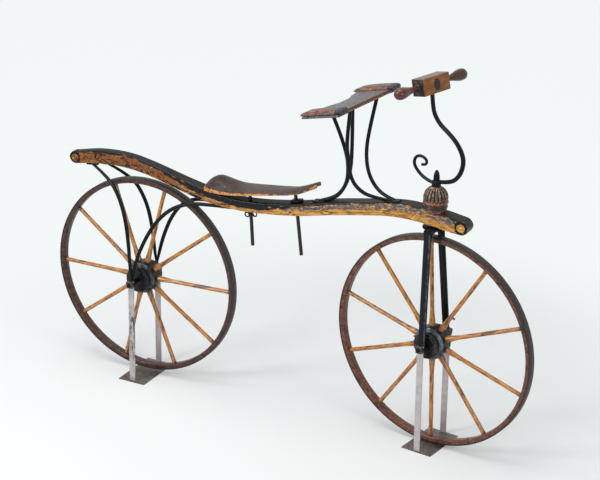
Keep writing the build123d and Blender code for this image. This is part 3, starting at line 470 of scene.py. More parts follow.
# Boxwood grips, polished by hands, with painted shade darkening the neck.
GRIP_RED = Finish(
    "polished_red_boxwood", "#70321C", "#3A170D", 6.0, stretch=3.0, rough=0.24, specular=0.4, coat=0.15,
    bump_mm=0.1, source=Coordinates.GRAIN, layers=(
        Layer("#1C0D09", 9.0, 0.58, 0.10, 0.3),
        Layer("#120B0A", 9.0, 0.86, 0.35, 0.4, where="grime_and_shade", weight=0.6)))
GRIP_BROWN = Finish(
    "polished_brown_boxwood", "#4E2B1A", "#28150E", 6.0, stretch=3.0, rough=0.28, specular=0.4, coat=0.12,
    bump_mm=0.1, source=Coordinates.GRAIN, layers=(
        Layer("#150D0A", 9.0, 0.58, 0.10, 0.35),
        Layer("#0E0A09", 9.0, 0.86, 0.35, 0.4, where="grime_and_shade", weight=0.6)))

# Cast plug in the block, black-green with old verdigris, dull.
INLAY = Finish(
    "verdigris_black_plug", "#171A15", "#0A0C0A", 5.0, rough=0.45, metallic=0.3, bump_mm=0.3,
    layers=(Layer("#2C3326", 4.0, 0.62, 0.08, 0.55),))

# Cold-rolled mild steel of the stands' uprights: pale and smooth, a little clouded.
STAND_STEEL = Finish(
    "bare_mild_steel", "#C3BDBD", "#B1ABAC", 20.0, rough=0.38, metallic=0.3, bump_mm=0.02, layers=(
        Layer("#8F898A", 22.0, 0.60, 0.20, 0.42, strength=0.6),))

# The same upright with long dark smears of old grease.
SMEARED_STEEL = Finish(
    "smeared_mild_steel", "#BDB7B6", "#A39D9D", 20.0, rough=0.38, metallic=0.3, bump_mm=0.02, layers=(
        Layer("#1C1D21", 30.0, 0.92, 0.04, 0.4, stretch=0.14, where="grime_and_shade", weight=0.42),))

# Floor plates of the same steel, browner and scuffed.
PLATE_STEEL = Finish(
    "brown_mild_steel", "#776C63", "#554B44", 14.0, rough=0.42, metallic=0.4, bump_mm=0.1, layers=(
        Layer("#3A332E", 20.0, 0.58, 0.12, 0.5), Layer("#958A80", 5.0, 0.66, 0.08, 0.4)))


# ---------------------------------------------------------------- mesh helpers


def curve_value(table: Table, x: float) -> float:
    """Smooth value of a two-column table at x (cubic through its points).

    Args:
        table: Rows of place and value, places rising.
        x: Place that is asked for.

    Returns:
        The value there.
    """
    rows = list(table)
    if x <= rows[0][0]:
        return rows[0][1]
    if x >= rows[-1][0]:
        return rows[-1][1]
    k = next(i for i in range(len(rows) - 1) if rows[i][0] <= x <= rows[i + 1][0])
    (x0, y0), (x1, y1) = rows[k][:2], rows[k + 1][:2]
    before = rows[k - 1] if k > 0 else rows[k]
    after = rows[k + 2] if k + 2 < len(rows) else rows[k + 1]
    m0 = (y1 - before[1]) / (x1 - before[0])
    m1 = (after[1] - y0) / (after[0] - x0)
    width = x1 - x0
    t = (x - x0) / width
    return ((2 * t ** 3 - 3 * t ** 2 + 1) * y0 + (t ** 3 - 2 * t ** 2 + t) * width * m0
            + (3 * t ** 2 - 2 * t ** 3) * y1 + (t ** 3 - t ** 2) * width * m1)


def mix(a: float, b: float, t: float) -> float:
    """Value between a and b at t."""
    return a + (b - a) * t


def held(value: float) -> float:
    """Holds a value between 0 and 1."""
    return min(1.0, max(0.0, value))


def squared(angle: float, flat: float, high: float) -> tuple[float, float]:
    """Gives a point of a circle that is drawn out towards a square.

    Args:
        angle: Angle round it in radians.
        flat: Power of the cosine; the smaller, the squarer.
        high: Power of the sine.

    Returns:
        Both coordinates, between -1 and 1.
    """
    c, s = math.cos(angle), math.sin(angle)
    return math.copysign(abs(c) ** flat, c), math.copysign(abs(s) ** high, s)


def raised(profile: Table, height: float) -> list[tuple[float, float]]:
    """Moves a profile of radius and height up by a height."""
    return [(r, height + h) for r, h in profile]


def everything(bm: bmesh.types.BMesh) -> list[bmesh.types.BMVert | bmesh.types.BMEdge | bmesh.types.BMFace]:
    """All points, edges and faces of a mesh."""
    return list(bm.verts) + list(bm.edges) + list(bm.faces)


def lathe(profile: Table, steps: int = 64) -> bmesh.types.BMesh:
    """Spins a profile of radius and height (mm) about Z.

    Args:
        profile: Radius and height rows from one end to the other.
        steps: Steps of the full turn.

    Returns:
        A closed mesh in metres.
    """
    bm = bmesh.new()
    verts = [bm.verts.new((r * MM, 0, h * MM)) for r, h in profile]
    edges = [bm.edges.new(pair) for pair in zip(verts, verts[1:])]
    bmesh.ops.spin(bm, geom=verts + edges, cent=(0, 0, 0), axis=(0, 0, 1), dvec=(0, 0, 0),
                   angle=math.tau, steps=steps, use_merge=True, use_duplicate=False)
    bmesh.ops.remove_doubles(bm, verts=bm.verts, dist=WELD)
    bmesh.ops.recalc_face_normals(bm, faces=bm.faces)
    return bm


def drill(radius: float, half: float, steps: int) -> bmesh.types.BMesh:
    """Makes a round cutter (mm) along Z, centred on the origin."""
    return lathe(((0, -half), (radius, -half), (radius, half), (0, half)), steps)


def block(size: Spot, bevel: float, segments: int = 3) -> bmesh.types.BMesh:
    """Makes a box with rounded edges, centred on the origin.

    Args:
        size: Its three sizes in mm.
        bevel: Radius of its edges in mm.
        segments: Steps across each rounded edge.

    Returns:
        The box in metres.
    """
    bm = bmesh.new()
    bmesh.ops.create_cube(bm, size=MM)
    bmesh.ops.scale(bm, vec=size, verts=bm.verts)
    bmesh.ops.bevel(bm, geom=list(bm.edges), offset=bevel * MM, offset_type="OFFSET", affect="EDGES",
                    segments=segments, profile=0.5, material=-1, clamp_overlap=True)
    return bm


def skin(columns: int, rows: int, place: Callable[[float, float], Spot]) -> bmesh.types.BMesh:
    """Wraps a grid to a skin: u runs along it, v round it, both from 0 to 1.

    Args:
        columns: Cells along.
        rows: Cells round.
        place: Gives the place in mm of each u and v.

    Returns:
        A mesh whose seams and collapsed ends are merged.
    """
    bm = bmesh.new()
    bmesh.ops.create_grid(bm, x_segments=columns, y_segments=rows, size=1.0)
    for vert in bm.verts:
        spot = place((vert.co.x + 1) / 2, (vert.co.y + 1) / 2)
        vert.co = Vector(spot) * MM
    bmesh.ops.remove_doubles(bm, verts=bm.verts, dist=2 * WELD)
    bmesh.ops.dissolve_degenerate(bm, edges=bm.edges, dist=WELD)
    bmesh.ops.recalc_face_normals(bm, faces=bm.faces)
    return bm


def closed(bm: bmesh.types.BMesh) -> bmesh.types.BMesh:
    """Closes a skin's open ends and turns its faces outwards.

    Args:
        bm: The skin.

    Returns:
        The same mesh.
    """
    bmesh.ops.holes_fill(bm, edges=[e for e in bm.edges if e.is_boundary], sides=0)
    bmesh.ops.recalc_face_normals(bm, faces=bm.faces)
    return bm


def thicken(bm: bmesh.types.BMesh, depth: float) -> None:
    """Draws a flat outline up to a slab.

    Args:
        bm: Mesh that holds the flat face alone.
        depth: Thickness in mm.
    """
    grown = bmesh.ops.extrude_face_region(bm, geom=list(bm.faces))
    bmesh.ops.translate(bm, vec=(0, 0, depth * MM),
                        verts=[g for g in grown["geom"] if isinstance(g, bmesh.types.BMVert)])


def rod(points: Table, radii: Sequence[float]) -> bmesh.types.BMesh:
    """Round bar along a smooth line through control points (mm), its radius changing along it.

    Args:
        points: Control points of the line.
        radii: Radius at each control point.

    Returns:
        A closed mesh in metres.
    """
    data = bpy.data.curves.new("rod", "CURVE")
    data.dimensions = "3D"
    data.bevel_depth = MM
    data.bevel_resolution = 4
    data.use_fill_caps = True
    spline = data.splines.new("NURBS")
    spline.points.add(len(points) - 1)
    for spot, radius, target in zip(points, radii, spline.points):
        target.co = (spot[0] * MM, spot[1] * MM, spot[2] * MM, 1)
        target.radius = radius
    spline.order_u = 3
    spline.use_endpoint_u = True
    spline.resolution_u = 10
    holder = bpy.data.objects.new("rod", data)
    mesh = bpy.data.meshes.new_from_object(holder)
    bm = bmesh.new()
    bm.from_mesh(mesh)
    bpy.data.objects.remove(holder)
    bpy.data.meshes.remove(mesh)
    bpy.data.curves.remove(data)
    bmesh.ops.remove_doubles(bm, verts=bm.verts, dist=WELD)
    bmesh.ops.recalc_face_normals(bm, faces=bm.faces)
    return bm


def moved(bm: bmesh.types.BMesh, matrix: Matrix) -> bmesh.types.BMesh:
    """Applies a matrix to a mesh.

    Args:
        bm: The mesh.
        matrix: Where it goes; one that mirrors turns the faces back outwards.

    Returns:
        The same mesh.
    """
    bm.transform(matrix)
    if matrix.determinant() < 0:
        bmesh.ops.reverse_faces(bm, faces=bm.faces)
    return bm


def joined(parts: Sequence[bmesh.types.BMesh]) -> bmesh.types.BMesh:
    """Puts several meshes in one.

    Args:
        parts: The meshes, which are freed.

    Returns:
        One mesh that keeps what was stamped and painted on them.
    """
    whole = bmesh.new()
    whole.verts.layers.float_vector.new("grain")
    for name in ("wear_and_highlight", "grime_and_shade", "top", "ends"):
        whole.verts.layers.float.new(name)
    for part in parts:
        mesh = bpy.data.meshes.new("part")
        part.to_mesh(mesh)
        part.free()
        whole.from_mesh(mesh)
        bpy.data.meshes.remove(mesh)
    return whole


def stamp(bm: bmesh.types.BMesh, offset: float = 0.0, along: str = "x") -> bmesh.types.BMesh:
    """Keeps each point's present place as the wood's or hide's own coordinates.

    Args:
        bm: The mesh, before it is put in its place.
        offset: Metres added along, so that repeated pieces differ.
        along: Axis of the mesh that the grain follows.

    Returns:
        The same mesh.
    """
    layer = bm.verts.layers.float_vector.get("grain") or bm.verts.layers.float_vector.new("grain")
    for vert in bm.verts:
        x, y, z = vert.co
        spot = {"x": (x, y, z), "y": (y, x, z), "z": (z, x, y)}[along]
        vert[layer] = Vector(spot) + Vector((offset, offset * 0.7, offset * 1.3))
    return bm


def paint(bm: bmesh.types.BMesh, name: str,
          value: Callable[[Vector, Vector], float]) -> bmesh.types.BMesh:
    """Writes a value on each point of a mesh.

    Args:
        bm: The mesh.
        name: Attribute that gets the values.
        value: Gives the value, from 0 to 1, of each place and normal.

    Returns:
        The same mesh.
    """
    layer = bm.verts.layers.float.get(name) or bm.verts.layers.float.new(name)
    bm.normal_update()
    for vert in bm.verts:
        vert[layer] = value(vert.co, vert.normal)
    return bm


def placed(bm: bmesh.types.BMesh, name: str) -> bpy.types.Object:
    """Makes an object in the scene from a mesh, which is freed.

    Args:
        bm: The mesh in its place, in metres.
        name: Name of the object.

    Returns:
        The object, at the origin.
    """
    mesh = bpy.data.meshes.new(name)
    bm.to_mesh(mesh)
    bm.free()
    made = bpy.data.objects.new(name, mesh)
    bpy.context.scene.collection.objects.link(made)
    return made


def publish(bm: bmesh.types.BMesh, name: str, finish: Finish, body: Body,
            replaced: Sequence[str], sharp: float) -> bpy.types.Object:
    """Makes the scene's piece from a finished mesh.

    Args:
        bm: Mesh in its place, in metres.
        name: Name of the piece.
        finish: What it is made of.
        body: Body it rides on.
        replaced: Solids that it stands for.
        sharp: Angle over which an edge stays sharp.

    Returns:
        The piece's object.
    """
    piece = placed(bm, name)
    mesh = piece.data
    mesh.shade_smooth()
    mesh.set_sharp_from_angle(angle=math.radians(sharp))
    mesh.materials.append(finish.material())
    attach(piece, body.value)
    if replaced:
        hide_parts(*replaced)
    LOG.info("%s: %d faces on %s", name, len(mesh.polygons), body.value)
    return piece


def settled(holder: bpy.types.Object) -> bpy.types.Mesh:
    """A new mesh of an object with its modifiers applied."""
    graph = bpy.context.evaluated_depsgraph_get()
    return bpy.data.meshes.new_from_object(holder.evaluated_get(graph))


def cut(bm: bmesh.types.BMesh, cutter: bmesh.types.BMesh) -> bmesh.types.BMesh:
    """Takes one closed mesh out of another.

    Args:
        bm: Mesh that is cut.
        cutter: Mesh that is taken away.

    Returns:
        The cut mesh.
    """
    objects = [placed(part, "cut") for part in (bm, cutter)]
    modifier = objects[0].modifiers.new("cut", "BOOLEAN")
    modifier.operation = "DIFFERENCE"
    modifier.solver = "EXACT"
    modifier.object = objects[1]
    result = settled(objects[0])
    out = bmesh.new()
    out.from_mesh(result)
    bpy.data.meshes.remove(result)
    for holder in objects:
        mesh = holder.data
        bpy.data.objects.remove(holder)
        bpy.data.meshes.remove(mesh)
    return out


def swollen(bm: bmesh.types.BMesh, rest: float, cap: float) -> bmesh.types.BMesh:
    """Blows a closed pad up by a short cloth simulation, its underside held where it lies.

    Args:
        bm: The pad, a little smaller than it ends up, in metres.
        rest: Height in mm below which the pad is glued down.
        cap: Furthest that a point may move, in mm.

    Returns:
        The swollen pad, once subdivided.
    """
    scene, last_frame = bpy.context.scene, 20
    holder = placed(bm, "pad")
    first = holder.data
    remesh = holder.modifiers.new("even", "REMESH")
    remesh.mode = "VOXEL"
    remesh.voxel_size = 2.5 * MM
    even = settled(holder)
    holder.modifiers.remove(remesh)
    holder.data = even
    held_down = holder.vertex_groups.new(name="glued")
    held_down.add([v.index for v in even.vertices if v.co.z < rest * MM], 1.0, "REPLACE")
    start = [v.co.copy() for v in even.vertices]
    cloth = holder.modifiers.new("cloth", "CLOTH")
    cloth.settings.use_pressure = True
    cloth.settings.uniform_pressure_force = 4.0
    cloth.settings.effector_weights.gravity = 0.0
    cloth.settings.vertex_group_mass = "glued"
    cloth.point_cache.frame_end = last_frame
    for frame in range(1, last_frame + 1):
        scene.frame_set(frame)
    blown = settled(holder)
    scene.frame_set(1)
    holder.modifiers.remove(cloth)
    for vert, before in zip(blown.vertices, start):
        step = vert.co - before
        if step.length > cap * MM:
            vert.co = before + step.normalized() * cap * MM
    holder.data = blown
    finer = holder.modifiers.new("finer", "SUBSURF")
    finer.levels = finer.render_levels = 1
    result = settled(holder)
    out = bmesh.new()
    out.from_mesh(result)
    bpy.data.objects.remove(holder)
    for used in (first, even, blown, result):
        bpy.data.meshes.remove(used)
    return out


def shift(x: float = 0, y: float = 0, z: float = 0) -> Matrix:
    """Translation by millimetres."""
    return Matrix.Translation(Vector((x, y, z)) * MM)


def turn(angle: float, axis: str) -> Matrix:
    """Rotation by degrees about a row axis."""
    return Matrix.Rotation(math.radians(angle), 4, axis)


# ---------------------------------------------------------------- places shared by the pieces

STEERING_X = 516.0
AXLE_X = 530.0
FRONT_AXLE_Z = 358.0
REAR_AXLE_Z = 356.0
REAR_CENTRE = -15.0  # the rear wheel runs a little to the right
CROWN_TOP = 740.4  # top of the fork's crown and foot of the stem
PALM_Y = 6.6  # each iron's palm lies this far beside the beam's middle
ARMREST_X = 237.4
BOARD_UNDERSIDE = -12.0

STEERED = shift(STEERING_X) @ turn(-6.6, "Z") @ shift(-STEERING_X)
FRONT_AXLE = STEERED @ shift(AXLE_X, 0, FRONT_AXLE_Z)
REAR_AXLE = shift(-AXLE_X, 0, REAR_AXLE_Z)
LEVER_PLACE = STEERED @ shift(STEERING_X, 0, 879.7) @ turn(-9.4, "Z")
BLOCK_RISE = 26.6  # from the lever's top to the block's middle, square to the block
BLOCK_LEAN = 12.0
BLOCK_PLACE = LEVER_PLACE @ shift(-30.5, 0, 282.2) @ turn(-BLOCK_LEAN, "Y") @ shift(0, 0, BLOCK_RISE)
ARMREST_PLACE = shift(ARMREST_X, 0, 1100) @ turn(-6.5, "Z") @ turn(-14.0, "Y")


# ---------------------------------------------------------------- sub-assemblies


@dataclass
class Beam:
    """Bent oak beam that everything hangs on.

    Attributes:
        top: Places along and heights of its upper edge.
        bottom: The same of its lower edge.
        half_width: Places along and half its width.
        corner: Radius of its long edges.
        corner_share: Share of the way round that each of the four corners takes, of its quarter.
        cap_share: Share of the skin that closes each end.
        groove: Profile of the ring turned in both faces of each end.
        boss_ring: Inner and outer radius of the black ring there.
        bands: Places along and the share of the height over which the black paint holds.
        fade: Share of the height over which the black thins out below.
    """

    top: Table = (
        (-797, 748), (-700, 769), (-593.6, 773.5), (-503.5, 760), (-349.8, 723.5), (-217.3, 700.8),
        (-100.7, 704), (49.8, 728), (171.7, 757), (306.3, 783), (399.6, 798.4), (469.6, 800),
        (555.4, 791), (611.6, 783.2))
    bottom: Table = (
        (-797, 704.8), (-689, 722), (-593.6, 725), (-503.5, 714.4), (-318, 673), (-185.5, 663),
        (-93.3, 667.5), (38.2, 685), (171.7, 714), (306.3, 740), (381.6, 751), (469.6, 751.2),
        (559.7, 740), (611.6, 734.4))
    half_width: Table = ((-830, 14), (-593.6, 14), (-100.7, 24), (551, 24), (640, 21))
    corner: float = 4.5
    corner_share: float = 0.4
    cap_share: float = 0.05
    groove: Table = ((13, 4), (15, -2.6), (18, -2.6), (20, 4), (13, 4))
    boss_ring: tuple[float, float] = (14.0, 23.0)
    bands: Table = (
        (-800, 0.60), (-600, 0.50), (-450, 0.40), (-300, 0.14), (-160, 0.02), (-20, 0.22), (80, 0.46),
        (300, 0.60), (640, 0.62))
    fade: float = 0.42

    def bosses(self) -> list[tuple[float, float]]:
        """Place along and height of each turned end's middle, rear and front."""
        return [(self.top[k][0], (self.top[k][1] + self.bottom[k][1]) / 2) for k in (0, -1)]

    def cap(self, row: int, share: float) -> tuple[float, float, float]:
        """Gives the section of a rounded end.

        Args:
            row: 0 for the rear end, -1 for the front one.
            share: Share of the quarter turn from the straight part to the tip.

        Returns:
            Place along, middle height and half height.
        """
        x, middle = self.bosses()[row]
        radius = (self.top[row][1] - self.bottom[row][1]) / 2
        reach = radius * math.sin(share * math.pi / 2)
        return x + (reach if row else -reach), middle, radius * math.cos(share * math.pi / 2)

    def section(self, u: float) -> tuple[float, float, float, float]:
        """Gives the beam's section at one place.

        Args:
            u: Share of the way along the skin.

        Returns:
            Place along, middle height, half height and half width.
        """
        if u < self.cap_share:
            x, middle, half = self.cap(0, 1 - u / self.cap_share)
        elif u > 1 - self.cap_share:
            x, middle, half = self.cap(-1, 1 - (1 - u) / self.cap_share)
        else:
            x = mix(self.top[0][0], self.top[-1][0], (u - self.cap_share) / (1 - 2 * self.cap_share))
            high, low = curve_value(self.top, x), curve_value(self.bottom, x)
            middle, half = (high + low) / 2, (high - low) / 2
        return x, middle, half, curve_value(self.half_width, x)

    def point(self, u: float, v: float) -> Spot:
        """Gives a place on the skin, whose section is a rectangle with rounded corners.

        Args:
            u: Share of the way along.
            v: Share of the way round.

        Returns:
            The place in millimetres.
        """
        x, middle, half, width = self.section(u)
        radius = min(self.corner, half * 0.9, width * 0.9)
        side, share = int(v * 4) % 4, v * 4 - int(v * 4)
        corners = ((1, 1), (-1, 1), (-1, -1), (1, -1))

        def on_arc(corner: int, angle: float) -> tuple[float, float]:
            """Gives a place on one corner's arc.

            Args:
                corner: Number of the corner.
                angle: Angle round it in radians.

            Returns:
                Place across and height over the section's middle.
            """
            sy, sz = corners[corner % 4]
            return (sy * (width - radius) + radius * math.cos(angle),
                    sz * (half - radius) + radius * math.sin(angle))

        if share < self.corner_share:
            y, z = on_arc(side, math.pi / 2 * (side + share / self.corner_share))
        else:
            flat = (share - self.corner_share) / (1 - self.corner_share)
            angle = math.pi / 2 * (side + 1)
            (y0, z0), (y1, z1) = on_arc(side, angle), on_arc(side + 1, angle)
            y, z = mix(y0, y1, flat), mix(z0, z1, flat)
        return x, y, middle + z

    def height(self, co: Vector) -> float:
        """Tells how high on the beam a point lies.

        Args:
            co: The point.

        Returns:
            Share of the beam's own height there.
        """
        x = min(max(co.x / MM, self.top[0][0]), self.top[-1][0])
        high, low = curve_value(self.top, x), curve_value(self.bottom, x)
        return (co.z / MM - low) / (high - low)

    def from_boss(self, co: Vector) -> float:
        """Distance in mm of a point from the nearer turned end's middle, seen from the side."""
        return min(math.hypot(co.x / MM - x, co.z / MM - z) for x, z in self.bosses())

    def worn(self, co: Vector, normal: Vector) -> float:
        """Pale lower edge, clear of the turned ends."""
        edge = normal.z < -0.2 and abs(normal.y) > 0.2 and self.height(co) < 0.12
        return 1.0 if edge and self.from_boss(co) > 27 else 0.0

    def black(self, co: Vector, normal: Vector) -> float:
        """Tells how much black paint is left at a point, together with a painted shadow low on the sides over
        the rear wheel.

        Args:
            co: The point.
            normal: Its normal.

        Returns:
            1 in the turned rings, on the nose and over the band, at least 0.78 in the painted shadow low over
            the rear wheel, 0 on the bosses and elsewhere low down.
        """
        far, (inner, outer) = self.from_boss(co), self.boss_ring
        nose = co.x / MM > self.top[-1][0] + 4 and abs(normal.y) < 0.6 and normal.z > -0.6
        if far <= inner:
            return 0.0
        if nose or (far < outer and abs(normal.y) > 0.2):
            return 1.0
        waves = 0.05 * math.sin(co.x * 21.0)
        # Painted shadow: the lower fifth of the beam over the rear wheel is darkened.
        shadow = 0.78 if -0.64 < co.x < -0.30 and self.height(co) < 0.20 else 0.0
        return max(shadow, held((self.height(co) - curve_value(self.bands, co.x / MM) - waves) / self.fade))

    def flaked(self, co: Vector, normal: Vector) -> float:
        """Tells how many flakes of slate paint are left at a point.

        Args:
            co: The point.
            normal: Its normal, which has no part in it.

        Returns:
            More towards the top and the front, none on the front boss.
        """
        x, z = self.bosses()[-1]
        if math.hypot(co.x / MM - x, co.z / MM - z) <= 15:
            return 0.0
        return held((self.height(co) + 0.05) / 0.65) * min(1.0, max(0.35, (co.x + 0.45) / 0.5))

    def build(self) -> None:
        """Builds the beam with its turned ends and marks where its paint holds and wears and where shadow is
        painted.
        """
        bm = skin(260, 56, self.point)
        for x, z in self.bosses():
            for side in (-1, 1):
                spot = shift(x, side * curve_value(self.half_width, x), z) @ turn(-90 * side, "X")
                bm = cut(bm, moved(lathe(self.groove, 56), spot))
        grain = bm.verts.layers.float_vector.new("grain")
        for vert in bm.verts:
            x, y, z = vert.co
            vert[grain] = Vector((x, y, z - curve_value(self.top, x / MM) * MM))
        paint(bm, "wear_and_highlight", self.worn)
        # Black paint together with the painted shadow over the rear wheel.
        paint(bm, "grime_and_shade", self.black)
        paint(bm, "flaked", self.flaked)
        paint(bm, "top", lambda co, normal: max(0.0, normal.z) ** 2)
        paint(bm, "ends", lambda co, normal: held((0.10 - co.x) / 0.55))
        publish(bm, "beam_oak", BEAM_OAK, Body.FRAME, ("beam",), 50)


@dataclass
class Wheel:
    """Spoked wooden wheel with an iron hoop.

    Attributes:
        name: First word of its pieces' names.
        body: Body that it is.
        place: Middle of its rim.
        radius: Outer radius.
        angles: Angles of the spokes, in degrees.
        dish: How far the nave stands out of the rim's plane.
        rim: Finish of the wooden rim.
        worn: Strength of the painted highlight on the nave's drum and share of wear on its end rings.
        tyre: Thickness of the hoop.
        tyre_half: Half the hoop's width.
        hammered: Depth and inset of the points of the hoop's softened edge.
        felloe: Depth of the rim.
        felloe_half: Half the rim's width.
        felloe_corner: Radius of the rim's inner edges.
        socket: Depth of the spokes' feet in the nave.
        swell: Radii of a spoke and their distances from the nave.
        spoke_root: Radius from which the spokes lean.
        nave: Largest radius of the nave.
        nave_half: Radii and heights of the nave's turned profile, from its face to its middle.
    """

    name: str
    body: Body
    place: Matrix
    radius: float
    angles: Sequence[float]
    dish: float
    rim: Finish
    worn: tuple[float, float]
    tyre: float = 4.5
    tyre_half: float = 14.5
    hammered: Table = ((1.6, 0.0), (0.5, 0.6), (0.0, 2.0))
    felloe: float = 13.5
    felloe_half: float = 13.5
    felloe_corner: float = 4.5
    socket: float = 4.0
    swell: Table = ((10.5, 3), (9.6, 18), (8.0, 36), (7.1, 52))
    spoke_root: float = 47.0
    nave: float = 54.0
    nave_half: Table = (
        (8.1, 46), (20, 46), (21, 45), (30, 45), (31, 46), (40, 46), (42.4, 44.8), (43, 43), (43, 38.5),
        (42, 37.2), (40, 36.6), (39.6, 34), (40, 29), (43, 26.6), (47, 25.4), (50.5, 24.4), (53, 22.4),
        (54, 19.5), (54, 15))

    def laid(self) -> Matrix:
        """From a mesh spun about Z to the wheel's place on its axle."""
        return self.place @ turn(-90, "X")

    def build(self) -> None:
        """Builds hoop, rim, spokes and nave."""
        self.build_hoop()
        self.build_rim()
        self.build_spokes()
        self.build_nave()

    def build_hoop(self) -> None:
        """Builds the flat hoop with hammered, rounded edges."""
        inner, w = self.radius - self.tyre, self.tyre_half
        edge = [(self.radius - depth, w - inset) for depth, inset in self.hammered]
        outline = [(inner, -w)] + [(r, -h) for r, h in edge] + edge[::-1] + [(inner, w), (inner, -w)]
        publish(moved(lathe(outline, 180), self.laid()), self.name + "_hoop", TYRE_IRON, self.body,
                (self.name + "_tyre",), 30)

    def build_rim(self) -> None:
        """Builds the bent rim with softly rounded inner edges and a slightly crowned inside."""
        outer = self.radius - self.tyre
        inner, w, c = outer - self.felloe, self.felloe_half, self.felloe_corner
        edge = [(outer, w), (inner + c, w)]
        edge += [(inner + c - c * math.sin(a), w - c + c * math.cos(a)) for a in (0.4, 0.8, 1.2)]
        edge += [(inner, w - c)]
        outline = [(r, -h) for r, h in edge] + [(inner - 0.6, 0)] + edge[::-1] + [(outer, -w)]
        publish(moved(lathe(outline, 180), self.laid()), self.name + "_rim", self.rim, self.body,
                (self.name + "_felloe",), 40)

    def build_spokes(self) -> None:
        """Builds the turned spokes, which swell to the nave, each with its own grain."""
        tip = self.radius - self.tyre - self.felloe
        foot = self.nave - self.socket
        outline = [(0, foot), (10.2, foot)] + raised(self.swell, self.nave)
        outline += [(6.9, mix(foot, tip, 0.55)), (6.7, tip - 22), (7.2, tip - 8), (7.2, tip), (0, tip)]
        span = (tip - foot) * MM
        lean = math.degrees(math.asin(self.dish / (tip - self.spoke_root)))
        leant = shift(0, 0, tip) @ turn(lean, "X") @ shift(0, 0, -tip)
        spokes = []
        for k, angle in enumerate(self.angles):
            spoke = stamp(lathe(outline, 20), 0.37 * k, "z")
            paint(spoke, "grime_and_shade", lambda co, normal: max(
                0.0, 1 - (co.z - foot * MM) / (0.22 * span), 1 - (tip * MM - co.z) / (0.12 * span)))
            spokes.append(moved(spoke, self.place @ turn(90 - angle, "Y") @ leant))
        publish(joined(spokes), self.name + "_spoke_set", SPOKE_ASH, self.body,
                (self.name + "_spokes",), 60)

    def build_nave(self) -> None:
        """Builds the stepped nave with its drum, its end rings and a flat face at each end."""
        outline = list(self.nave_half) + [(r, -h) for r, h in reversed(self.nave_half)]
        middle = self.place @ shift(0, self.dish)
        bm = moved(lathe(outline + [self.nave_half[0]], 96), middle @ turn(-90, "X"))
        inward = middle.inverted()

        def between(co: Vector, low: float, high: float, near: float, far: float) -> bool:
            """Whether a point's radius and its distance along the axle lie in two ranges."""
            x, y, z = (inward @ co) / MM
            return low < math.hypot(x, z) < high and near < abs(y) < far

        drum, rings = self.worn
        # Painted highlight: the drum is painted slate-pale all round.
        paint(bm, "wear_and_highlight", lambda co, normal: drum if between(co, 42.5, 53.8, -1, 30) else 0.0)
        paint(bm, "ends", lambda co, normal: rings if between(co, 28, 43.5, 36, 99) else 0.0)
        publish(bm, self.name + "_turned_nave", NAVE_PAINT, self.body,
                (self.name + "_nave",), 30)


@dataclass
class AxleSet:
    """Axle with a washer and a square nut at each end.

    Attributes:
        name: First word of its pieces' names.
        body: Body that it rides on.
        place: The axle's middle.
        centre: Offset of the middle between its irons.
        reach: Distance from there to each iron's outer face.
        radius: Radius of the bar.
        upright: Thickness of the stand's upright on the bar.
        nut: Size of a nut along X, the axle and Z.
        thread: How far the bar stands out of its nuts.
        washer: Profile of a washer.
    """

    name: str
    body: Body
    place: Matrix
    centre: float
    reach: float
    radius: float = 8.0
    upright: float = 4.0
    nut: tuple[float, float, float] = (23, 12, 23)
    thread: float = 3.0
    washer: Table = ((8, -0.6), (13.2, -0.6), (13.2, 0.9), (8, 0.9), (8, -0.6))

    def build(self) -> None:
        """Builds the axle, its washers and its nuts, each nut turned a little its own way."""
        end = self.reach + self.upright + self.nut[1] + self.thread
        half = ((0, end), (self.radius - 1.8, end), (self.radius, end - 2))
        bar = lathe([(r, -h) for r, h in half] + list(half[::-1]), 32)
        bars, nuts = [moved(bar, self.place @ shift(0, self.centre) @ turn(-90, "X"))], []
        for side in (-1, 1):
            y = self.centre + side * (self.reach + self.upright + self.nut[1] / 2)
            nuts.append(moved(block(self.nut, 2.2), self.place @ shift(0, y) @ turn(8 * side, "Y")))
            spot = self.place @ shift(0, y - side * 5.3) @ turn(-90 * side, "X")
            bars.append(moved(lathe(self.washer, 32), spot))
        publish(joined(bars), self.name + "_spindle", BLACK_IRON, self.body,
                (self.name + "_axle",), 35)
        publish(joined(nuts), self.name + "_axle_nuts", NUT_IRON, self.body, (), 35)


@dataclass(frozen=True)
class Bent:
    """One bent iron.

    Attributes:
        end: "back" or "front".
        side: -1 on the right, 1 on the left.
        foot: X and Z of its palm's middle.
        head: Y of a stay's eye, or X and Y of a carrier's pad in the armrest's own axes.
        bends: Shares of the way from foot to head at each bend: along, out and down for a stay, along,
            up and out for a carrier.
    """

    end: str
    side: int
    foot: tuple[float, float]
    head: tuple[float, ...]
    bends: Table

    def hand(self) -> str:
        """Word for its side."""
        return "right" if self.side < 0 else "left"


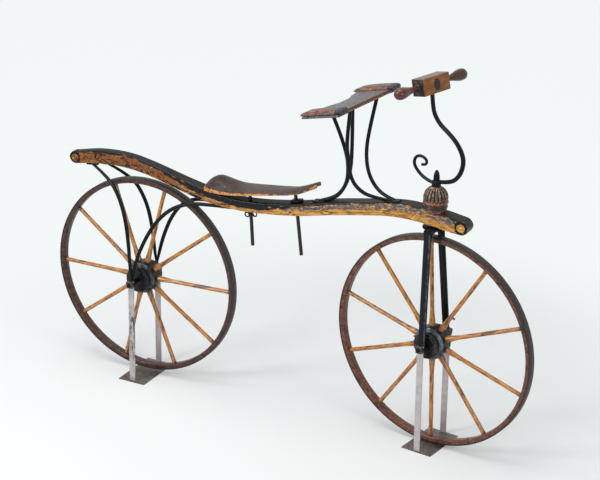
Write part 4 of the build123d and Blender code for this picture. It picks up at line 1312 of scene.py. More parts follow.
@dataclass
class Irons:
    """Bent wrought irons: the stays of the rear wheel and the armrest's four carriers.

    Attributes:
        palm: Size of the flattened foot of each iron.
        boss: Profile of the eye of a stay on the axle.
        pad: Profile of a carrier's pad under the board.
        stay_radius: Radius of the stays.
        carrier_radius: Radius of the carriers.
        stays: The four stays.
        carriers: The four carriers.
    """

    palm: tuple[float, float, float] = (44, 13, 5)
    boss: Table = ((8.1, -2.1), (12.8, -2.1), (14, -1.2), (14, 1.2), (12.8, 2.1), (8.1, 2.1), (8.1, -2.1))
    pad: Table = ((0, -3.2), (8, -3.2), (11, -1.6), (11, 0), (0, 0))
    stay_radius: float = 6.5
    carrier_radius: float = 6.1
    stays: tuple[Bent, ...] = (
        Bent("back", -1, (-731.4, 713.0), (REAR_CENTRE - 78.8,), (
            (0.37, 0.27, 0.07), (0.61, 0.44, 0.20), (0.78, 0.60, 0.39), (0.885, 0.76, 0.63),
            (0.965, 0.98, 0.87))),
        Bent("back", 1, (-678.4, 719.0), (REAR_CENTRE + 78.8,), (
            (0.47, 0.60, 0.11), (0.77, 0.84, 0.33), (0.90, 0.95, 0.58), (0.96, 0.99, 0.87))),
        Bent("front", -1, (-201.4, 660.5), (REAR_CENTRE - 74.6,), (
            (0.27, 0.16, 0.00), (0.46, 0.23, 0.03), (0.65, 0.33, 0.12), (0.82, 0.48, 0.32),
            (0.94, 0.68, 0.59), (0.99, 0.98, 0.84))),
        Bent("front", 1, (-201.4, 660.5), (REAR_CENTRE + 74.6,), (
            (0.27, 0.24, 0.00), (0.46, 0.42, 0.03), (0.63, 0.62, 0.12), (0.79, 0.84, 0.32),
            (0.905, 0.95, 0.59), (0.97, 0.99, 0.84))))
    carriers: tuple[Bent, ...] = (
        Bent("back", -1, (118.7, 746.7), (-51.0, 70.0), (
            (0.42, 0.05, 0.05), (0.75, 0.17, 0.20), (0.95, 0.34, 0.36), (0.92, 0.64, 0.62))),
        Bent("back", 1, (118.7, 746.7), (-55.5, 57.75), (
            (0.35, 0.04, 0.05), (0.60, 0.13, 0.20), (0.745, 0.28, 0.38), (0.735, 0.50, 0.66))),
        Bent("front", -1, (375.2, 796.6), (19.5, 64.75), (
            (0.51, 0.01, 0.155), (0.775, 0.07, 0.32), (0.955, 0.19, 0.49), (1.005, 0.41, 0.645),
            (1.015, 0.64, 0.843))),
        Bent("front", 1, (375.2, 796.6), (19.5, 84.0), (
            (0.20, 0.00, 0.09), (0.52, 0.055, 0.225), (0.78, 0.195, 0.37), (0.90, 0.40, 0.545),
            (0.885, 0.65, 0.76))))

    def build_palm(self, iron: Bent, lift: float, slope: float) -> bmesh.types.BMesh:
        """Makes the flattened palm of an iron.

        Args:
            iron: The iron that it belongs to.
            lift: Height over the iron's foot.
            slope: Slope of the beam there, in degrees.

        Returns:
            The palm in its place.
        """
        x, z = iron.foot
        return moved(block(self.palm, 2.0), shift(x, iron.side * 6.9, z + lift) @ turn(-slope, "Y"))

    def build_stay(self, iron: Bent) -> None:
        """Builds a stay from its palm under the beam to its eye on the rear axle.

        Args:
            iron: The stay's bends and ends.
        """
        start = Vector((iron.foot[0], iron.side * PALM_Y, iron.foot[1]))
        end = Vector((-AXLE_X, iron.head[0], REAR_AXLE_Z))
        points = [tuple(start)]
        for along, out, down in iron.bends:
            points.append((mix(start.x, end.x, along), mix(start.y, end.y, out), mix(start.z, end.z, down)))
        points.append((end.x, end.y, end.z + 8))
        radii = [4.2, 6.2] + [self.stay_radius] * (len(points) - 4) + [5.6, 3.0]
        boss = moved(lathe(self.boss, 32), shift(*end) @ turn(-90, "X"))
        parts = [rod(points, radii), boss, self.build_palm(iron, 0.6, 6.0)]
        publish(joined(parts), f"stay_{iron.end}_{iron.hand()}", BLACK_IRON, Body.FRAME,
                (f"{iron.end}_stay_{iron.hand()}",), 45)

    def build_carrier(self, iron: Bent) -> None:
        """Builds a carrier from its palm on the beam to the pad under the armrest's board.

        Args:
            iron: The carrier's bends and ends.
        """
        head = (iron.head[0], iron.side * iron.head[1], BOARD_UNDERSIDE)
        top = ARMREST_PLACE @ (Vector(head) * MM) / MM
        start = Vector((iron.foot[0], iron.side * PALM_Y, iron.foot[1]))
        points = [tuple(start)]
        for along, up, out in iron.bends:
            points.append((start.x + along * (ARMREST_X - start.x), mix(start.y, top.y, out),
                           mix(start.z, top.z, up)))
        points.append((top.x, top.y, top.z - 0.5))
        radii = [4.2, 5.8] + [self.carrier_radius] * (len(points) - 3) + [6.0]
        pad = moved(lathe(self.pad, 28), ARMREST_PLACE @ shift(*head))
        parts = [rod(points, radii), pad, self.build_palm(iron, -0.6, 9.0)]
        publish(joined(parts), f"carrier_{iron.end}_{iron.hand()}", BLACK_IRON, Body.FRAME,
                (f"armrest_iron_{iron.end}_{iron.hand()}",), 45)

    def build(self) -> None:
        """Builds all eight irons."""
        for iron in self.stays:
            self.build_stay(iron)
        for iron in self.carriers:
            self.build_carrier(iron)


@dataclass
class SteeringHead:
    """Fluted dome on its rings, with the stem and finial that turn in it.

    Attributes:
        base: Height of the beam's top here.
        ribs: Number of the dome's ribs.
        flute: Depth between two ribs.
        dome_height: Height of the dome.
        dome: Heights and radii of the dome.
        rings: Name, finish, height over the base, profile and replaced solid of each ring.
        collar: Profile of the collar on the dome's top.
        floor: Profile of the thin disc that closes the dome below.
        finial_foot: Height of the finial's collar.
        finial: Profile of the collar and the bullet over it.
    """

    base: float = 795.1
    ribs: int = 20
    flute: float = 3.4
    dome_height: float = 44.0
    dome: Table = (
        (0.0, 36.8), (4.0, 38.4), (10.0, 38.6), (18.0, 37.4), (26.0, 34.4), (33.0, 29.4), (39.0, 22.6),
        (44.0, 15.0))
    rings: tuple[tuple[str, Finish, float, Table, tuple[str, ...]], ...] = (
        ("lower", RING_ORANGE, 0, ((12.1, -3), (34.5, -3), (35.5, 2), (35.5, 6), (34, 8), (12.1, 8),
                                   (12.1, -3)), ("head_rings",)),
        ("middle", RING_BLACK, 8, ((12.1, 0), (35, 0), (37.2, 1), (38, 3), (38, 5), (37, 7), (35.6, 8.2),
                                   (34.4, 10), (34.0, 12), (35.2, 14), (12.1, 14), (12.1, 0)), ()),
        ("upper", RING_ORANGE, 22, ((12.1, 0), (35.4, 0), (38.4, 1), (39.8, 3), (40, 5), (39.4, 7.2),
                                    (37.6, 9.2), (35.8, 10), (12.1, 10), (12.1, 0)), ()))
    collar: Table = ((12.2, 40), (14.8, 43.6), (14.2, 44), (12.2, 44), (12.2, 40))
    floor: Table = ((12.2, 0.1), (36.8, 0.1), (12.2, 0.2), (12.2, 0.1))
    finial_foot: float = 871.2
    finial: Table = (
        (12, 0), (13.4, 0), (14.4, 1.5), (14.6, 9), (16.0, 13), (16.0, 15.6), (14.4, 17), (10.8, 17.6),
        (9.4, 19), (9.8, 23), (10.0, 27), (9.6, 33), (8.6, 39), (7.0, 44.5), (4.8, 49), (2.2, 51.6),
        (0, 52))

    def build(self) -> None:
        """Builds rings, dome, stem and finial."""
        for name, finish, start, profile, replaced in self.rings:
            ring = moved(lathe(raised(profile, self.base + start), 72), shift(STEERING_X))
            publish(ring, "ring_" + name, finish, Body.FRAME, replaced, 30)
        self.build_dome(self.base + 32)
        stem = [(0, CROWN_TOP), (12, CROWN_TOP)] + raised(self.finial, self.finial_foot)
        publish(moved(lathe(stem, 48), STEERED @ shift(STEERING_X)), "stem_and_finial", BLACK_IRON,
                Body.STEERING, ("steering_stem",), 32)

    def build_dome(self, foot: float) -> None:
        """Builds the beehive dome with rounded ribs and deep flutes between them.

        Args:
            foot: Height of its foot.
        """

        def point(u: float, v: float) -> Spot:
            """Gives a place on the dome's skin.

            Args:
                u: Share of the way up.
                v: Share of the way round.

            Returns:
                The place in millimetres.
            """
            angle = v * math.tau
            between = (1 - abs(math.sin(angle * self.ribs / 2))) ** 1.4
            depth = self.flute * min(1.0, u * 7) * min(1.0, (1.02 - u) * 5)
            radius = curve_value(self.dome, self.dome_height * u) - depth * between
            return radius * math.cos(angle), radius * math.sin(angle), foot + self.dome_height * u

        def sunk(co: Vector) -> float:
            """Depth in mm of a point under the ribs' crests."""
            return curve_value(self.dome, co.z / MM - foot) - math.hypot(co.x, co.y) / MM

        dome = skin(26, self.ribs * 8, point)
        paint(dome, "wear_and_highlight", lambda co, normal: 1.0 if sunk(co) < 1.2 else 0.0)
        paint(dome, "grime_and_shade", lambda co, normal: 1.0 if sunk(co) > 2.2 else 0.0)
        parts = [dome] + [lathe(raised(profile, foot), 40) for profile in (self.collar, self.floor)]
        publish(moved(joined(parts), shift(STEERING_X)), "fluted_dome", DOME_BRONZE, Body.FRAME,
                ("head_dome",), 60)


@dataclass
class Tiller:
    """Swan-necked lever, its scroll and the handle.

    Attributes:
        lever: Place forward, height and radius along the lever.
        scroll: The same along the scroll.
        block: Size of the handle block.
        plug_half: Half width and half height of the block's eight-sided plug.
        plug_depth: Its thickness.
        grip: Profile of a grip, from the block outwards.
    """

    lever: Table = (
        (0, 5.4, 6.4), (53.4, 14.9, 6.8), (87, 43, 7.2), (102.5, 81, 7.4), (100, 114, 7.4),
        (75.5, 147.5, 7.2), (41.4, 171.5, 7.0), (9.5, 188, 6.9), (-11.2, 208, 6.8), (-25.4, 235, 6.8),
        (-30.5, 284, 6.8))
    scroll: Table = (
        (0, -2.7, 5.2), (-32.7, 0, 5.3), (-67.8, 13.2, 5.3), (-93.5, 37.8, 5.2), (-88, 64.2, 5.0),
        (-63.2, 74, 4.8), (-39.5, 64, 4.6), (-45, 46.5, 4.5), (-61, 45.5, 4.4))
    block: tuple[float, float, float] = (48, 118, 53)
    plug_half: tuple[float, float] = (13.5, 19.0)
    plug_depth: float = 1.8
    grip: Table = (
        (0, -1), (12, -1), (12.6, 1), (12.2, 3.4), (9.6, 5), (8.6, 9), (8.5, 18), (9.4, 28), (11.8, 40),
        (14.8, 52), (17.4, 64), (18.6, 74), (18.4, 82), (16.6, 89.5), (12.8, 94.5), (7, 97.4), (0, 98))

    def build(self) -> None:
        """Builds lever, scroll, block, plug and grips."""
        for line, name, solid in ((self.lever, "swan_neck_lever", "steering_lever"),
                                  (self.scroll, "lever_curl", "lever_scroll")):
            bar = rod([(x, 0, z) for x, z, _ in line], [radius for _, _, radius in line])
            publish(moved(bar, LEVER_PLACE), name, BLACK_IRON, Body.STEERING, (solid,), 45)
        self.build_block()
        self.build_grips()

    def build_block(self) -> None:
        """Builds the handle block with the eight-sided plug in its front."""
        bm = stamp(block(self.block, 2.2), 0.0, "y")
        paint(bm, "top", lambda co, normal: max(0.0, normal.z))
        paint(bm, "ends", lambda co, normal: abs(normal.y))
        publish(moved(bm, BLOCK_PLACE), "handle_block_wood", BLOCK_PEAR, Body.STEERING,
                ("handle_block",), 40)
        plug = bmesh.new()
        bmesh.ops.create_circle(plug, cap_ends=True, segments=8, radius=MM)
        bmesh.ops.rotate(plug, verts=plug.verts, cent=(0, 0, 0),
                         matrix=Matrix.Rotation(math.pi / 8, 3, "Z"))
        bmesh.ops.scale(plug, vec=(*self.plug_half, 1), verts=plug.verts)
        thicken(plug, self.plug_depth)
        bmesh.ops.recalc_face_normals(plug, faces=plug.faces)
        place = BLOCK_PLACE @ shift(self.block[0] / 2 - 0.8) @ turn(90, "Y") @ turn(90, "Z")
        publish(moved(plug, place), "handle_plug", INLAY, Body.STEERING, ("handle_inlay",), 30)

    def build_grips(self) -> None:
        """Builds the turned grips, each with a ring at the block and a swelling end."""
        for side, finish, name in ((-1, GRIP_RED, "right"), (1, GRIP_BROWN, "left")):
            grip = stamp(lathe(self.grip, 40), 0.2 * side, "z")
            # Painted shade: darker in the neck, towards the block.
            paint(grip, "grime_and_shade", lambda co, normal: held((34 - co.z / MM) / 24))
            place = BLOCK_PLACE @ shift(0, side * self.block[1] / 2) @ turn(-90 * side, "X")
            publish(moved(grip, place), "turned_grip_" + name, finish, Body.STEERING,
                    ("handle_grip_" + name,), 35)


@dataclass
class Fork:
    """Forged fork under the beam.

    Attributes:
        disc: Profile of the turning disc, from the crown's top.
        crown_half: Half the crown's width across.
        crown_depth: Half its length forward.
        shoulder: Distance across where its shoulders start to droop.
        droop: How far they droop.
        thick: Thickness of the crown in its middle and at its ends.
        inner: Distance of a blade's inner face from the middle, at its top and at its eye.
        blade_half: Half a blade's width at its top and at its eye.
        blade_thick: Thickness of a blade.
        eye: Profile of a blade's eye.
        peg: Profile of the peg on a blade's edge.
        peg_heights: Heights of the right and the left peg.
    """

    disc: Table = ((0, 0), (36, 0), (38, -1.5), (38, -4.5), (36, -6), (0, -6))
    crown_half: float = 43.0
    crown_depth: float = 13.2
    shoulder: float = 27.0
    droop: float = 5.5
    thick: tuple[float, float] = (15.0, 20.5)
    inner: tuple[float, float] = (34.0, 69.0)
    blade_half: tuple[float, float] = (12.4, 12.0)
    blade_thick: float = 9.0
    eye: Table = ((8.1, -4.5), (13.4, -4.5), (15, -3), (15, 3), (13.4, 4.5), (8.1, 4.5), (8.1, -4.5))
    peg: Table = ((0, 0), (3, 0), (3, 22.5), (2.4, 24), (0, 24.5))
    peg_heights: tuple[float, float] = (390.0, 414.0)

    def arch(self, u: float, v: float) -> Spot:
        """Gives a place on the crown's skin, thicker and drooping towards its ends.

        Args:
            u: Share of the way across.
            v: Share of the way round.

        Returns:
            The place in millimetres.
        """
        y = mix(-self.crown_half, self.crown_half, u)
        edge = max(0.0, abs(y) - self.shoulder) / (self.crown_half - self.shoulder)
        drop = self.droop * edge ** 2
        thick = mix(*self.thick, min(1.0, abs(y) / self.crown_half))
        cx, cz = squared(v * math.tau, 0.32, 0.32)
        z = CROWN_TOP - drop / 2 - thick / 2 + cz * thick / 2 * (1 - edge * 0.12)
        return STEERING_X + cx * self.crown_depth, y, z

    def build(self) -> None:
        """Builds the crown and both blades."""
        disc = moved(lathe(raised(self.disc, CROWN_TOP), 56), shift(STEERING_X))
        crown = joined([disc, closed(skin(30, 40, self.arch))])
        publish(moved(crown, STEERED), "fork_yoke", BLACK_IRON, Body.STEERING,
                ("fork_crown",), 40)
        self.build_blade("right", -1, BLADE_IRON, 1.0)
        self.build_blade("left", 1, BLACK_IRON, 0.95)

    def build_blade(self, name: str, side: int, finish: Finish, width: float) -> None:
        """Builds a flat forged blade with a rounded outer face, an eye and a peg.

        Args:
            name: "right" or "left".
            side: -1 on the right, 1 on the left.
            finish: The blade's finish.
            width: Share of the full width that this blade has.
        """

        def point(u: float, v: float) -> Spot:
            """Gives a place on the blade's skin.

            Args:
                u: Share of the way down.
                v: Share of the way round.

            Returns:
                The place in millimetres.
            """
            cx, cy = squared(v * math.tau, 0.25, 0.40)
            half = self.blade_thick / 2
            return (mix(STEERING_X, AXLE_X, u) + cx * mix(*self.blade_half, u) * width,
                    side * (mix(*self.inner, u) + half) + cy * half, mix(CROWN_TOP - 14, FRONT_AXLE_Z, u))

        def marked_part(co: Vector, normal: Vector) -> float:
            """Front part of the outer face, where a painted highlight stands for a facet that catches the
            light.
            """
            limit = mix(0.534, 0.518, (co.z - 0.358) / 0.37)
            return 1.0 if normal.y * side > 0.4 and co.x > limit else 0.0

        blade = paint(closed(skin(40, 32, point)), "wear_and_highlight", marked_part)
        eye_y = side * (self.inner[1] + self.blade_thick / 2)
        eye = moved(lathe(self.eye, 36), shift(AXLE_X, eye_y, FRONT_AXLE_Z) @ turn(-90, "X"))
        spot = shift(AXLE_X + side * 8, side * self.inner[1], self.peg_heights[side > 0])
        peg = moved(lathe(self.peg, 16), spot @ turn(90 * side, "Y"))
        publish(moved(joined([blade, eye, peg]), STEERED), "fork_blade_forged_" + name, finish,
                Body.STEERING, ("fork_blade_" + name,), 35)


@dataclass
class Saddle:
    """Hide-covered seat shell on its adjusting screws.

    Attributes:
        length: Length of the saddle.
        rear: Place of its rear end.
        half: Half its largest width.
        widths: Share along and share of that half width.
        edges: Share along and height of the lower edge.
        ridges: Share along and height of the middle line.
        thick: Thickness of the shell.
        lip: Further thickness at the front lip.
        screws: Name, place along, height, lean, foot, top and worn length of each screw.
        nut: Place along and height of the wing nut.
        nut_profile: Its turned body.
        ears: Places forward, heights and radii of its two wires.
    """

    length: float = 405.0
    rear: float = -291.5
    half: float = 60.0
    widths: Table = (
        (0.00, 0.40), (0.05, 0.78), (0.11, 0.96), (0.20, 1.00), (0.31, 0.97), (0.51, 0.85), (0.70, 0.70),
        (0.85, 0.54), (1.00, 0.26))
    edges: Table = (
        (0.00, 722.4), (0.05, 724.8), (0.11, 727.2), (0.20, 728.8), (0.31, 732.8), (0.51, 744.8),
        (0.70, 757.6), (0.85, 770.4), (1.00, 800.0))
    ridges: Table = (
        (0.00, 729.6), (0.05, 751.2), (0.11, 761.6), (0.20, 753.6), (0.31, 742.4), (0.51, 748.4),
        (0.70, 761.6), (0.85, 780.8), (1.00, 808.0))
    thick: float = 7.0
    lip: float = 3.5
    screws: tuple[tuple[str, float, float, float, float, float, float], ...] = (
        ("back", -132.5, 684, 3.6, 544, 741, 80), ("front", 36.0, 706, 6.7, 546, 762, 70))
    nut: tuple[float, float] = (-132.0, 664.5)
    nut_profile: Table = (
        (5.1, -12), (7, -12), (8.4, -9), (8, -5), (9.5, -2), (9.5, 0.5), (5.1, 0.5), (5.1, -12))
    ears: tuple[Table, ...] = (
        ((-6, -9, 2.8), (-13, -9.5, 2.6), (-20.5, -13, 2.4), (-20.5, -22, 2.3), (-13, -26, 2.2),
         (-5.5, -23, 2.2), (-6, -15, 2.2), (-9, -11, 2.0)),
        ((6, -4, 2.8), (9, -16, 2.6), (16, -20, 2.4), (22.5, -15, 2.2), (21.5, -4, 2.0), (17.5, -1, 1.6)))

    def point(self, u: float, v: float) -> Spot:
        """Gives a place on the skin, over the top and back underneath.

        Args:
            u: Share of the way along.
            v: Share of the way round.

        Returns:
            The place in millimetres.
        """
        if u < 0.05:
            wide = self.half * 0.78 * math.sqrt(max(0.0, 1 - ((0.05 - u) / 0.05) ** 2 * 0.75))
        else:
            wide = self.half * curve_value(self.widths, u)
        thick = self.thick + self.lip * max(0.0, u - 0.8) / 0.2
        over = v < 0.5
        across = (v * 2 if over else (1 - v) * 2) * 2 - 1
        rim = max(0.0, abs(across) - 0.9) / 0.1
        side = thick * 0.5 * math.sqrt(max(0.0, 1 - rim ** 2))
        crown = mix(curve_value(self.edges, u), curve_value(self.ridges, u), 1 - abs(across) ** 2.1)
        z = crown - thick / 2 - 2.6 * rim ** 2 + (side if over else -side)
        return self.rear + u * self.length, wide * across, z

    def marked_part(self, co: Vector, normal: Vector) -> float:
        """Tells how bare the hide is at a point.

        Args:
            co: The point.
            normal: Its normal, which has no part in it.

        Returns:
            1 along the lower edges, less on the front lip, 0 elsewhere.
        """
        share = (co.x / MM - self.rear) / self.length
        out = abs(co.y / MM) / (self.half * curve_value(self.widths, share))
        near = max(0.0, out - 0.80) / 0.16 * (1.0 if share < 0.62 else 0.7)
        return min(1.0, near + max(0.0, share - 0.94) / 0.06 * 0.6)

    def build(self) -> None:
        """Builds the shell, its screws, the bracket and the wing nut."""
        bm = stamp(closed(skin(90, 80, self.point)))
        paint(bm, "wear_and_highlight", self.marked_part)
        paint(bm, "grime_and_shade", lambda co, normal: held((-0.17 - co.x) / 0.08) * max(0.0, normal.z))
        publish(bm, "saddle_hide", SADDLE_HIDE, Body.FRAME, ("saddle",), 50)
        for row in self.screws:
            self.build_screw(*row)
        bracket = moved(block((36, 26, 9), 2.0, 2), shift(36, 0, 729.5) @ turn(-10, "Y"))
        publish(bracket, "saddle_bracket_iron", BLACK_IRON, Body.FRAME,
                ("saddle_bracket",), 35)
        x, z = self.nut
        parts = [moved(lathe(self.nut_profile, 28), shift(x, 0, z) @ turn(-self.screws[0][3], "Y"))]
        for ear in self.ears:
            wire = rod([(along, 0, up) for along, up, _ in ear], [radius for _, _, radius in ear])
            parts.append(moved(wire, shift(x, 0, z)))
        publish(joined(parts), "curled_wing_nut", BLACK_IRON, Body.FRAME,
                ("saddle_wing_nut",), 40)

    def build_screw(self, name: str, x: float, z: float, lean: float, low: float, high: float,
                    worn: float) -> None:
        """Builds a long adjusting screw with a cut thread and a blunt foot.

        Args:
            name: "back" or "front".
            x: Place along of the point where it leans.
            z: Height of that point.
            lean: Its lean in degrees.
            low: Height of its foot.
            high: Height of its top.
            worn: Length that is worn bare from the foot up.
        """
        foot, top = low - z, high - z
        outline = [(0, foot), (5.0, foot), (6.0, foot + 1.5)]
        level = foot + 3
        while level < top:
            outline += [(6.0, level), (5.4, level + 1.4)]
            level += 2.8
        screw = lathe(outline + [(4.8, top), (0, top)], 20)
        paint(screw, "wear_and_highlight", lambda co, normal: held(1 - (co.z / MM - foot) / worn))
        publish(moved(screw, shift(x, 0, z) @ turn(-lean, "Y")), "saddle_spindle_" + name, SCREW_IRON,
                Body.FRAME, ("saddle_screw_" + name,), 60)


@dataclass
class Armrest:
    """Yoke board with a middle hide and a padded wing at each end.

    Attributes:
        length: Length of the board.
        half_span: Half its span.
        outline: Shares of length and half span round one half of the board.
        hide_half: Half the width of the middle hide.
        wing_y: Distance of a wing's middle from the board's.
        wing_half: Half a wing's width.
        wing_top: Places along and heights of a wing's top.
        wing_foot: Height of its underside.
        swell: Furthest that a wing's hide swells.
    """

    length: float = 150.0
    half_span: float = 175.0
    outline: Table = (
        (0.31, 0.00), (0.31, 0.64), (0.34, 0.68), (0.34, 1.00), (-0.58, 1.00), (-0.58, 0.71),
        (-0.46, 0.57), (-0.41, 0.36), (-0.31, 0.16), (-0.31, 0.00))
    hide_half: float = 116.8
    wing_y: float = 146.4
    wing_half: float = 28.0
    wing_top: Table = (
        (-94, 1.0), (-88, 4.6), (-81, 6.6), (-45, 8.6), (15, 9.4), (42, 8.6), (50, 7.0), (54, 3.4))
    wing_foot: float = -5.0
    swell: float = 1.6

    def slab(self, low: float, high: float, half: float, bevel: float, grow: float) -> bmesh.types.BMesh:
        """Makes a slab of the board's outline.

        Args:
            low: Height of its underside.
            high: Height of its top.
            half: Half the width at which it is cut off.
            bevel: Radius of its edges.
            grow: How far it stands out in front and behind.

        Returns:
            The slab in the armrest's own axes.
        """
        rows = [(a * self.length + math.copysign(grow, a), b * self.half_span) for a, b in self.outline]
        points = rows + [(x, -y) for x, y in reversed(rows[1:-1])]
        bm = bmesh.new()
        bm.faces.new([bm.verts.new((x * MM, y * MM, low * MM)) for x, y in points])
        thicken(bm, high - low)
        for side in (-1, 1):
            if half < self.half_span:
                bmesh.ops.bisect_plane(bm, geom=everything(bm), plane_co=(0, side * half * MM, 0),
                                       plane_no=(0, side, 0), clear_outer=True)
                bmesh.ops.holes_fill(bm, edges=[e for e in bm.edges if e.is_boundary], sides=0)
        bmesh.ops.recalc_face_normals(bm, faces=bm.faces)
        bmesh.ops.bevel(bm, geom=list(bm.edges), offset=bevel * MM, offset_type="OFFSET", affect="EDGES",
                        segments=3, profile=0.5, material=-1, clamp_overlap=True)
        return bm

    def build(self) -> None:
        """Builds board, middle hide and both wings."""
        board = stamp(self.slab(BOARD_UNDERSIDE, -5.1, self.half_span, 1.4, 0.0), 0.0, "y")
        paint(board, "wear_and_highlight", lambda co, normal: float(co.x > 0.0 and abs(co.y) < 0.112 and normal.z > -0.5))
        publish(moved(board, ARMREST_PLACE), "yoke_board", ARM_BOARD, Body.FRAME,
                ("armrest_board",), 35)
        hide = stamp(self.slab(self.wing_foot, 0, self.hide_half, 1.8, 0.8), 0.11, "y")
        paint(hide, "wear_and_highlight", lambda co, normal: 0.8 if co.x > 0.044 and normal.z < 0.98 else 0.0)
        publish(moved(hide, ARMREST_PLACE), "yoke_hide", ARM_HIDE, Body.FRAME,
                ("armrest_pad",), 40)
        for side, name in ((-1, "right"), (1, "left")):
            self.build_wing(side, name)

    def build_wing(self, side: int, name: str) -> None:
        """Builds a wing: a hide swollen over its stuffing, thin and drooping behind.

        Args:
            side: -1 on the right, 1 on the left.
            name: "right" or "left".
        """
        rear, front = self.wing_top[0][0], self.wing_top[-1][0]

        def point(u: float, v: float) -> Spot:
            """Gives a place on the wing's skin.

            Args:
                u: Share of the way forward.
                v: Share of the way round.

            Returns:
                The place in millimetres.
            """
            x = mix(rear, front, u)
            width = self.wing_half * (1 - 0.08 * max(0.0, (-60 - x) / 34)) - 1.5 * max(0.0, (x - 40) / 14)
            cy, cz = squared(v * math.tau, 0.30, 0.50)
            z = mix(self.wing_foot, curve_value(self.wing_top, x), (cz + 1) / 2)
            return x, side * self.wing_y + cy * width, z

        def marked_part(co: Vector, normal: Vector) -> float:
            """Tells whether a point is rubbed to the orange hide.

            Args:
                co: The point.
                normal: Its normal.

            Returns:
                1 on the outer edge, on the left wing's inner edge and on the tip behind.
            """
            outer = side * co.y > 0.161 and normal.z > 0.22
            inner = side > 0 and co.y < 0.127 and normal.z > 0.22
            return 1.0 if co.x < 0.030 and (outer or inner or co.x < -0.086) else 0.0

        bm = closed(skin(60, 64, point))
        bm = swollen(bm, self.wing_foot + 1, self.swell)
        stamp(bm, 0.3 * side)
        paint(bm, "wear_and_highlight", marked_part)
        paint(bm, "grime_and_shade", lambda co, normal: 1.0 if co.x > 0.036 else (0.9 if co.z < -0.0030 else 0.0))
        paint(bm, "ends", lambda co, normal: 1.0 if abs(normal.y) > 0.6 and co.x < 0.036 else 0.0)
        piece = publish(moved(bm, ARMREST_PLACE), "wing_hide_" + name, ARM_HIDE, Body.FRAME,
                        ("armrest_wing_" + name,), 45)


@dataclass
class Stand:
    """Steel plate and two uprights that hold an axle.

    Attributes:
        name: First word of its pieces' names.
        body: Body that it rides on.
        place: Point of the floor under the axle.
        axle_z: Height of the axle.
        centre: Offset of the middle between the uprights.
        reach: Distance from there to each upright's inner face.
        plate: Length and width of the plate.
        smeared: Whether the right upright is smeared with old grease.
        plate_thick: Thickness of the plate.
        bar: Width and thickness of an upright.
        over: How far an upright stands over the axle.
        hole: Radius of the plate's screw holes.
        inset: Distance of those holes from the plate's edges, along and across.
        bore: Radius of the axle's hole.
    """

    name: str
    body: Body
    place: Matrix
    axle_z: float
    centre: float
    reach: float
    plate: tuple[float, float]
    smeared: bool
    plate_thick: float = 3.0
    bar: tuple[float, float] = (21.5, 4.0)
    over: float = 9.5
    hole: float = 3.0
    inset: tuple[float, float] = (15.0, 20.0)
    bore: float = 8.1

    def build(self) -> None:
        """Builds plate and uprights with softly broken edges."""
        plate = block((*self.plate, self.plate_thick), 0.5, 2)
        for sx in (-1, 1):
            for sy in (-1, 1):
                spot = shift(sx * (self.plate[0] / 2 - self.inset[0]), sy * (self.plate[1] / 2 - self.inset[1]))
                plate = cut(plate, moved(drill(self.hole, 4, 24), spot))
        spot = self.place @ shift(0, self.centre, self.plate_thick / 2)
        publish(moved(plate, spot), self.name + "_floor_plate", PLATE_STEEL, self.body,
                (self.name + "_stand_plate",), 30)
        self.build_upright("right", -1, self.smeared)
        self.build_upright("left", 1, False)

    def build_upright(self, name: str, side: int, smeared: bool) -> None:
        """Builds an upright with the axle's hole near its top.

        Args:
            name: "right" or "left".
            side: -1 on the right, 1 on the left.
            smeared: Whether it is smeared.
        """
        height = self.axle_z + self.over - self.plate_thick
        y = self.centre + side * (self.reach + self.bar[1] / 2)
        bar = moved(block((*self.bar, height), 0.6, 2), shift(0, y, self.plate_thick + height / 2))
        bar = cut(bar, moved(drill(self.bore, 6, 32), shift(0, y, self.axle_z) @ turn(90, "X")))
        for level in range(40, 330, 10):  # so that the smears have points to fade between
            bmesh.ops.bisect_plane(bar, geom=everything(bar), plane_co=(0, 0, level * MM), plane_no=(0, 0, 1))
        paint(bar, "grime_and_shade", lambda co, normal: min(
            1.0, max(0.0, (0.30 - co.z) / 0.05), max(0.0, (co.z - 0.06) / 0.03)) if smeared else 0.0)
        publish(moved(bar, self.place), f"{self.name}_post_{name}", SMEARED_STEEL if smeared else STAND_STEEL,
                self.body, (f"{self.name}_stand_upright_{name}",), 30)


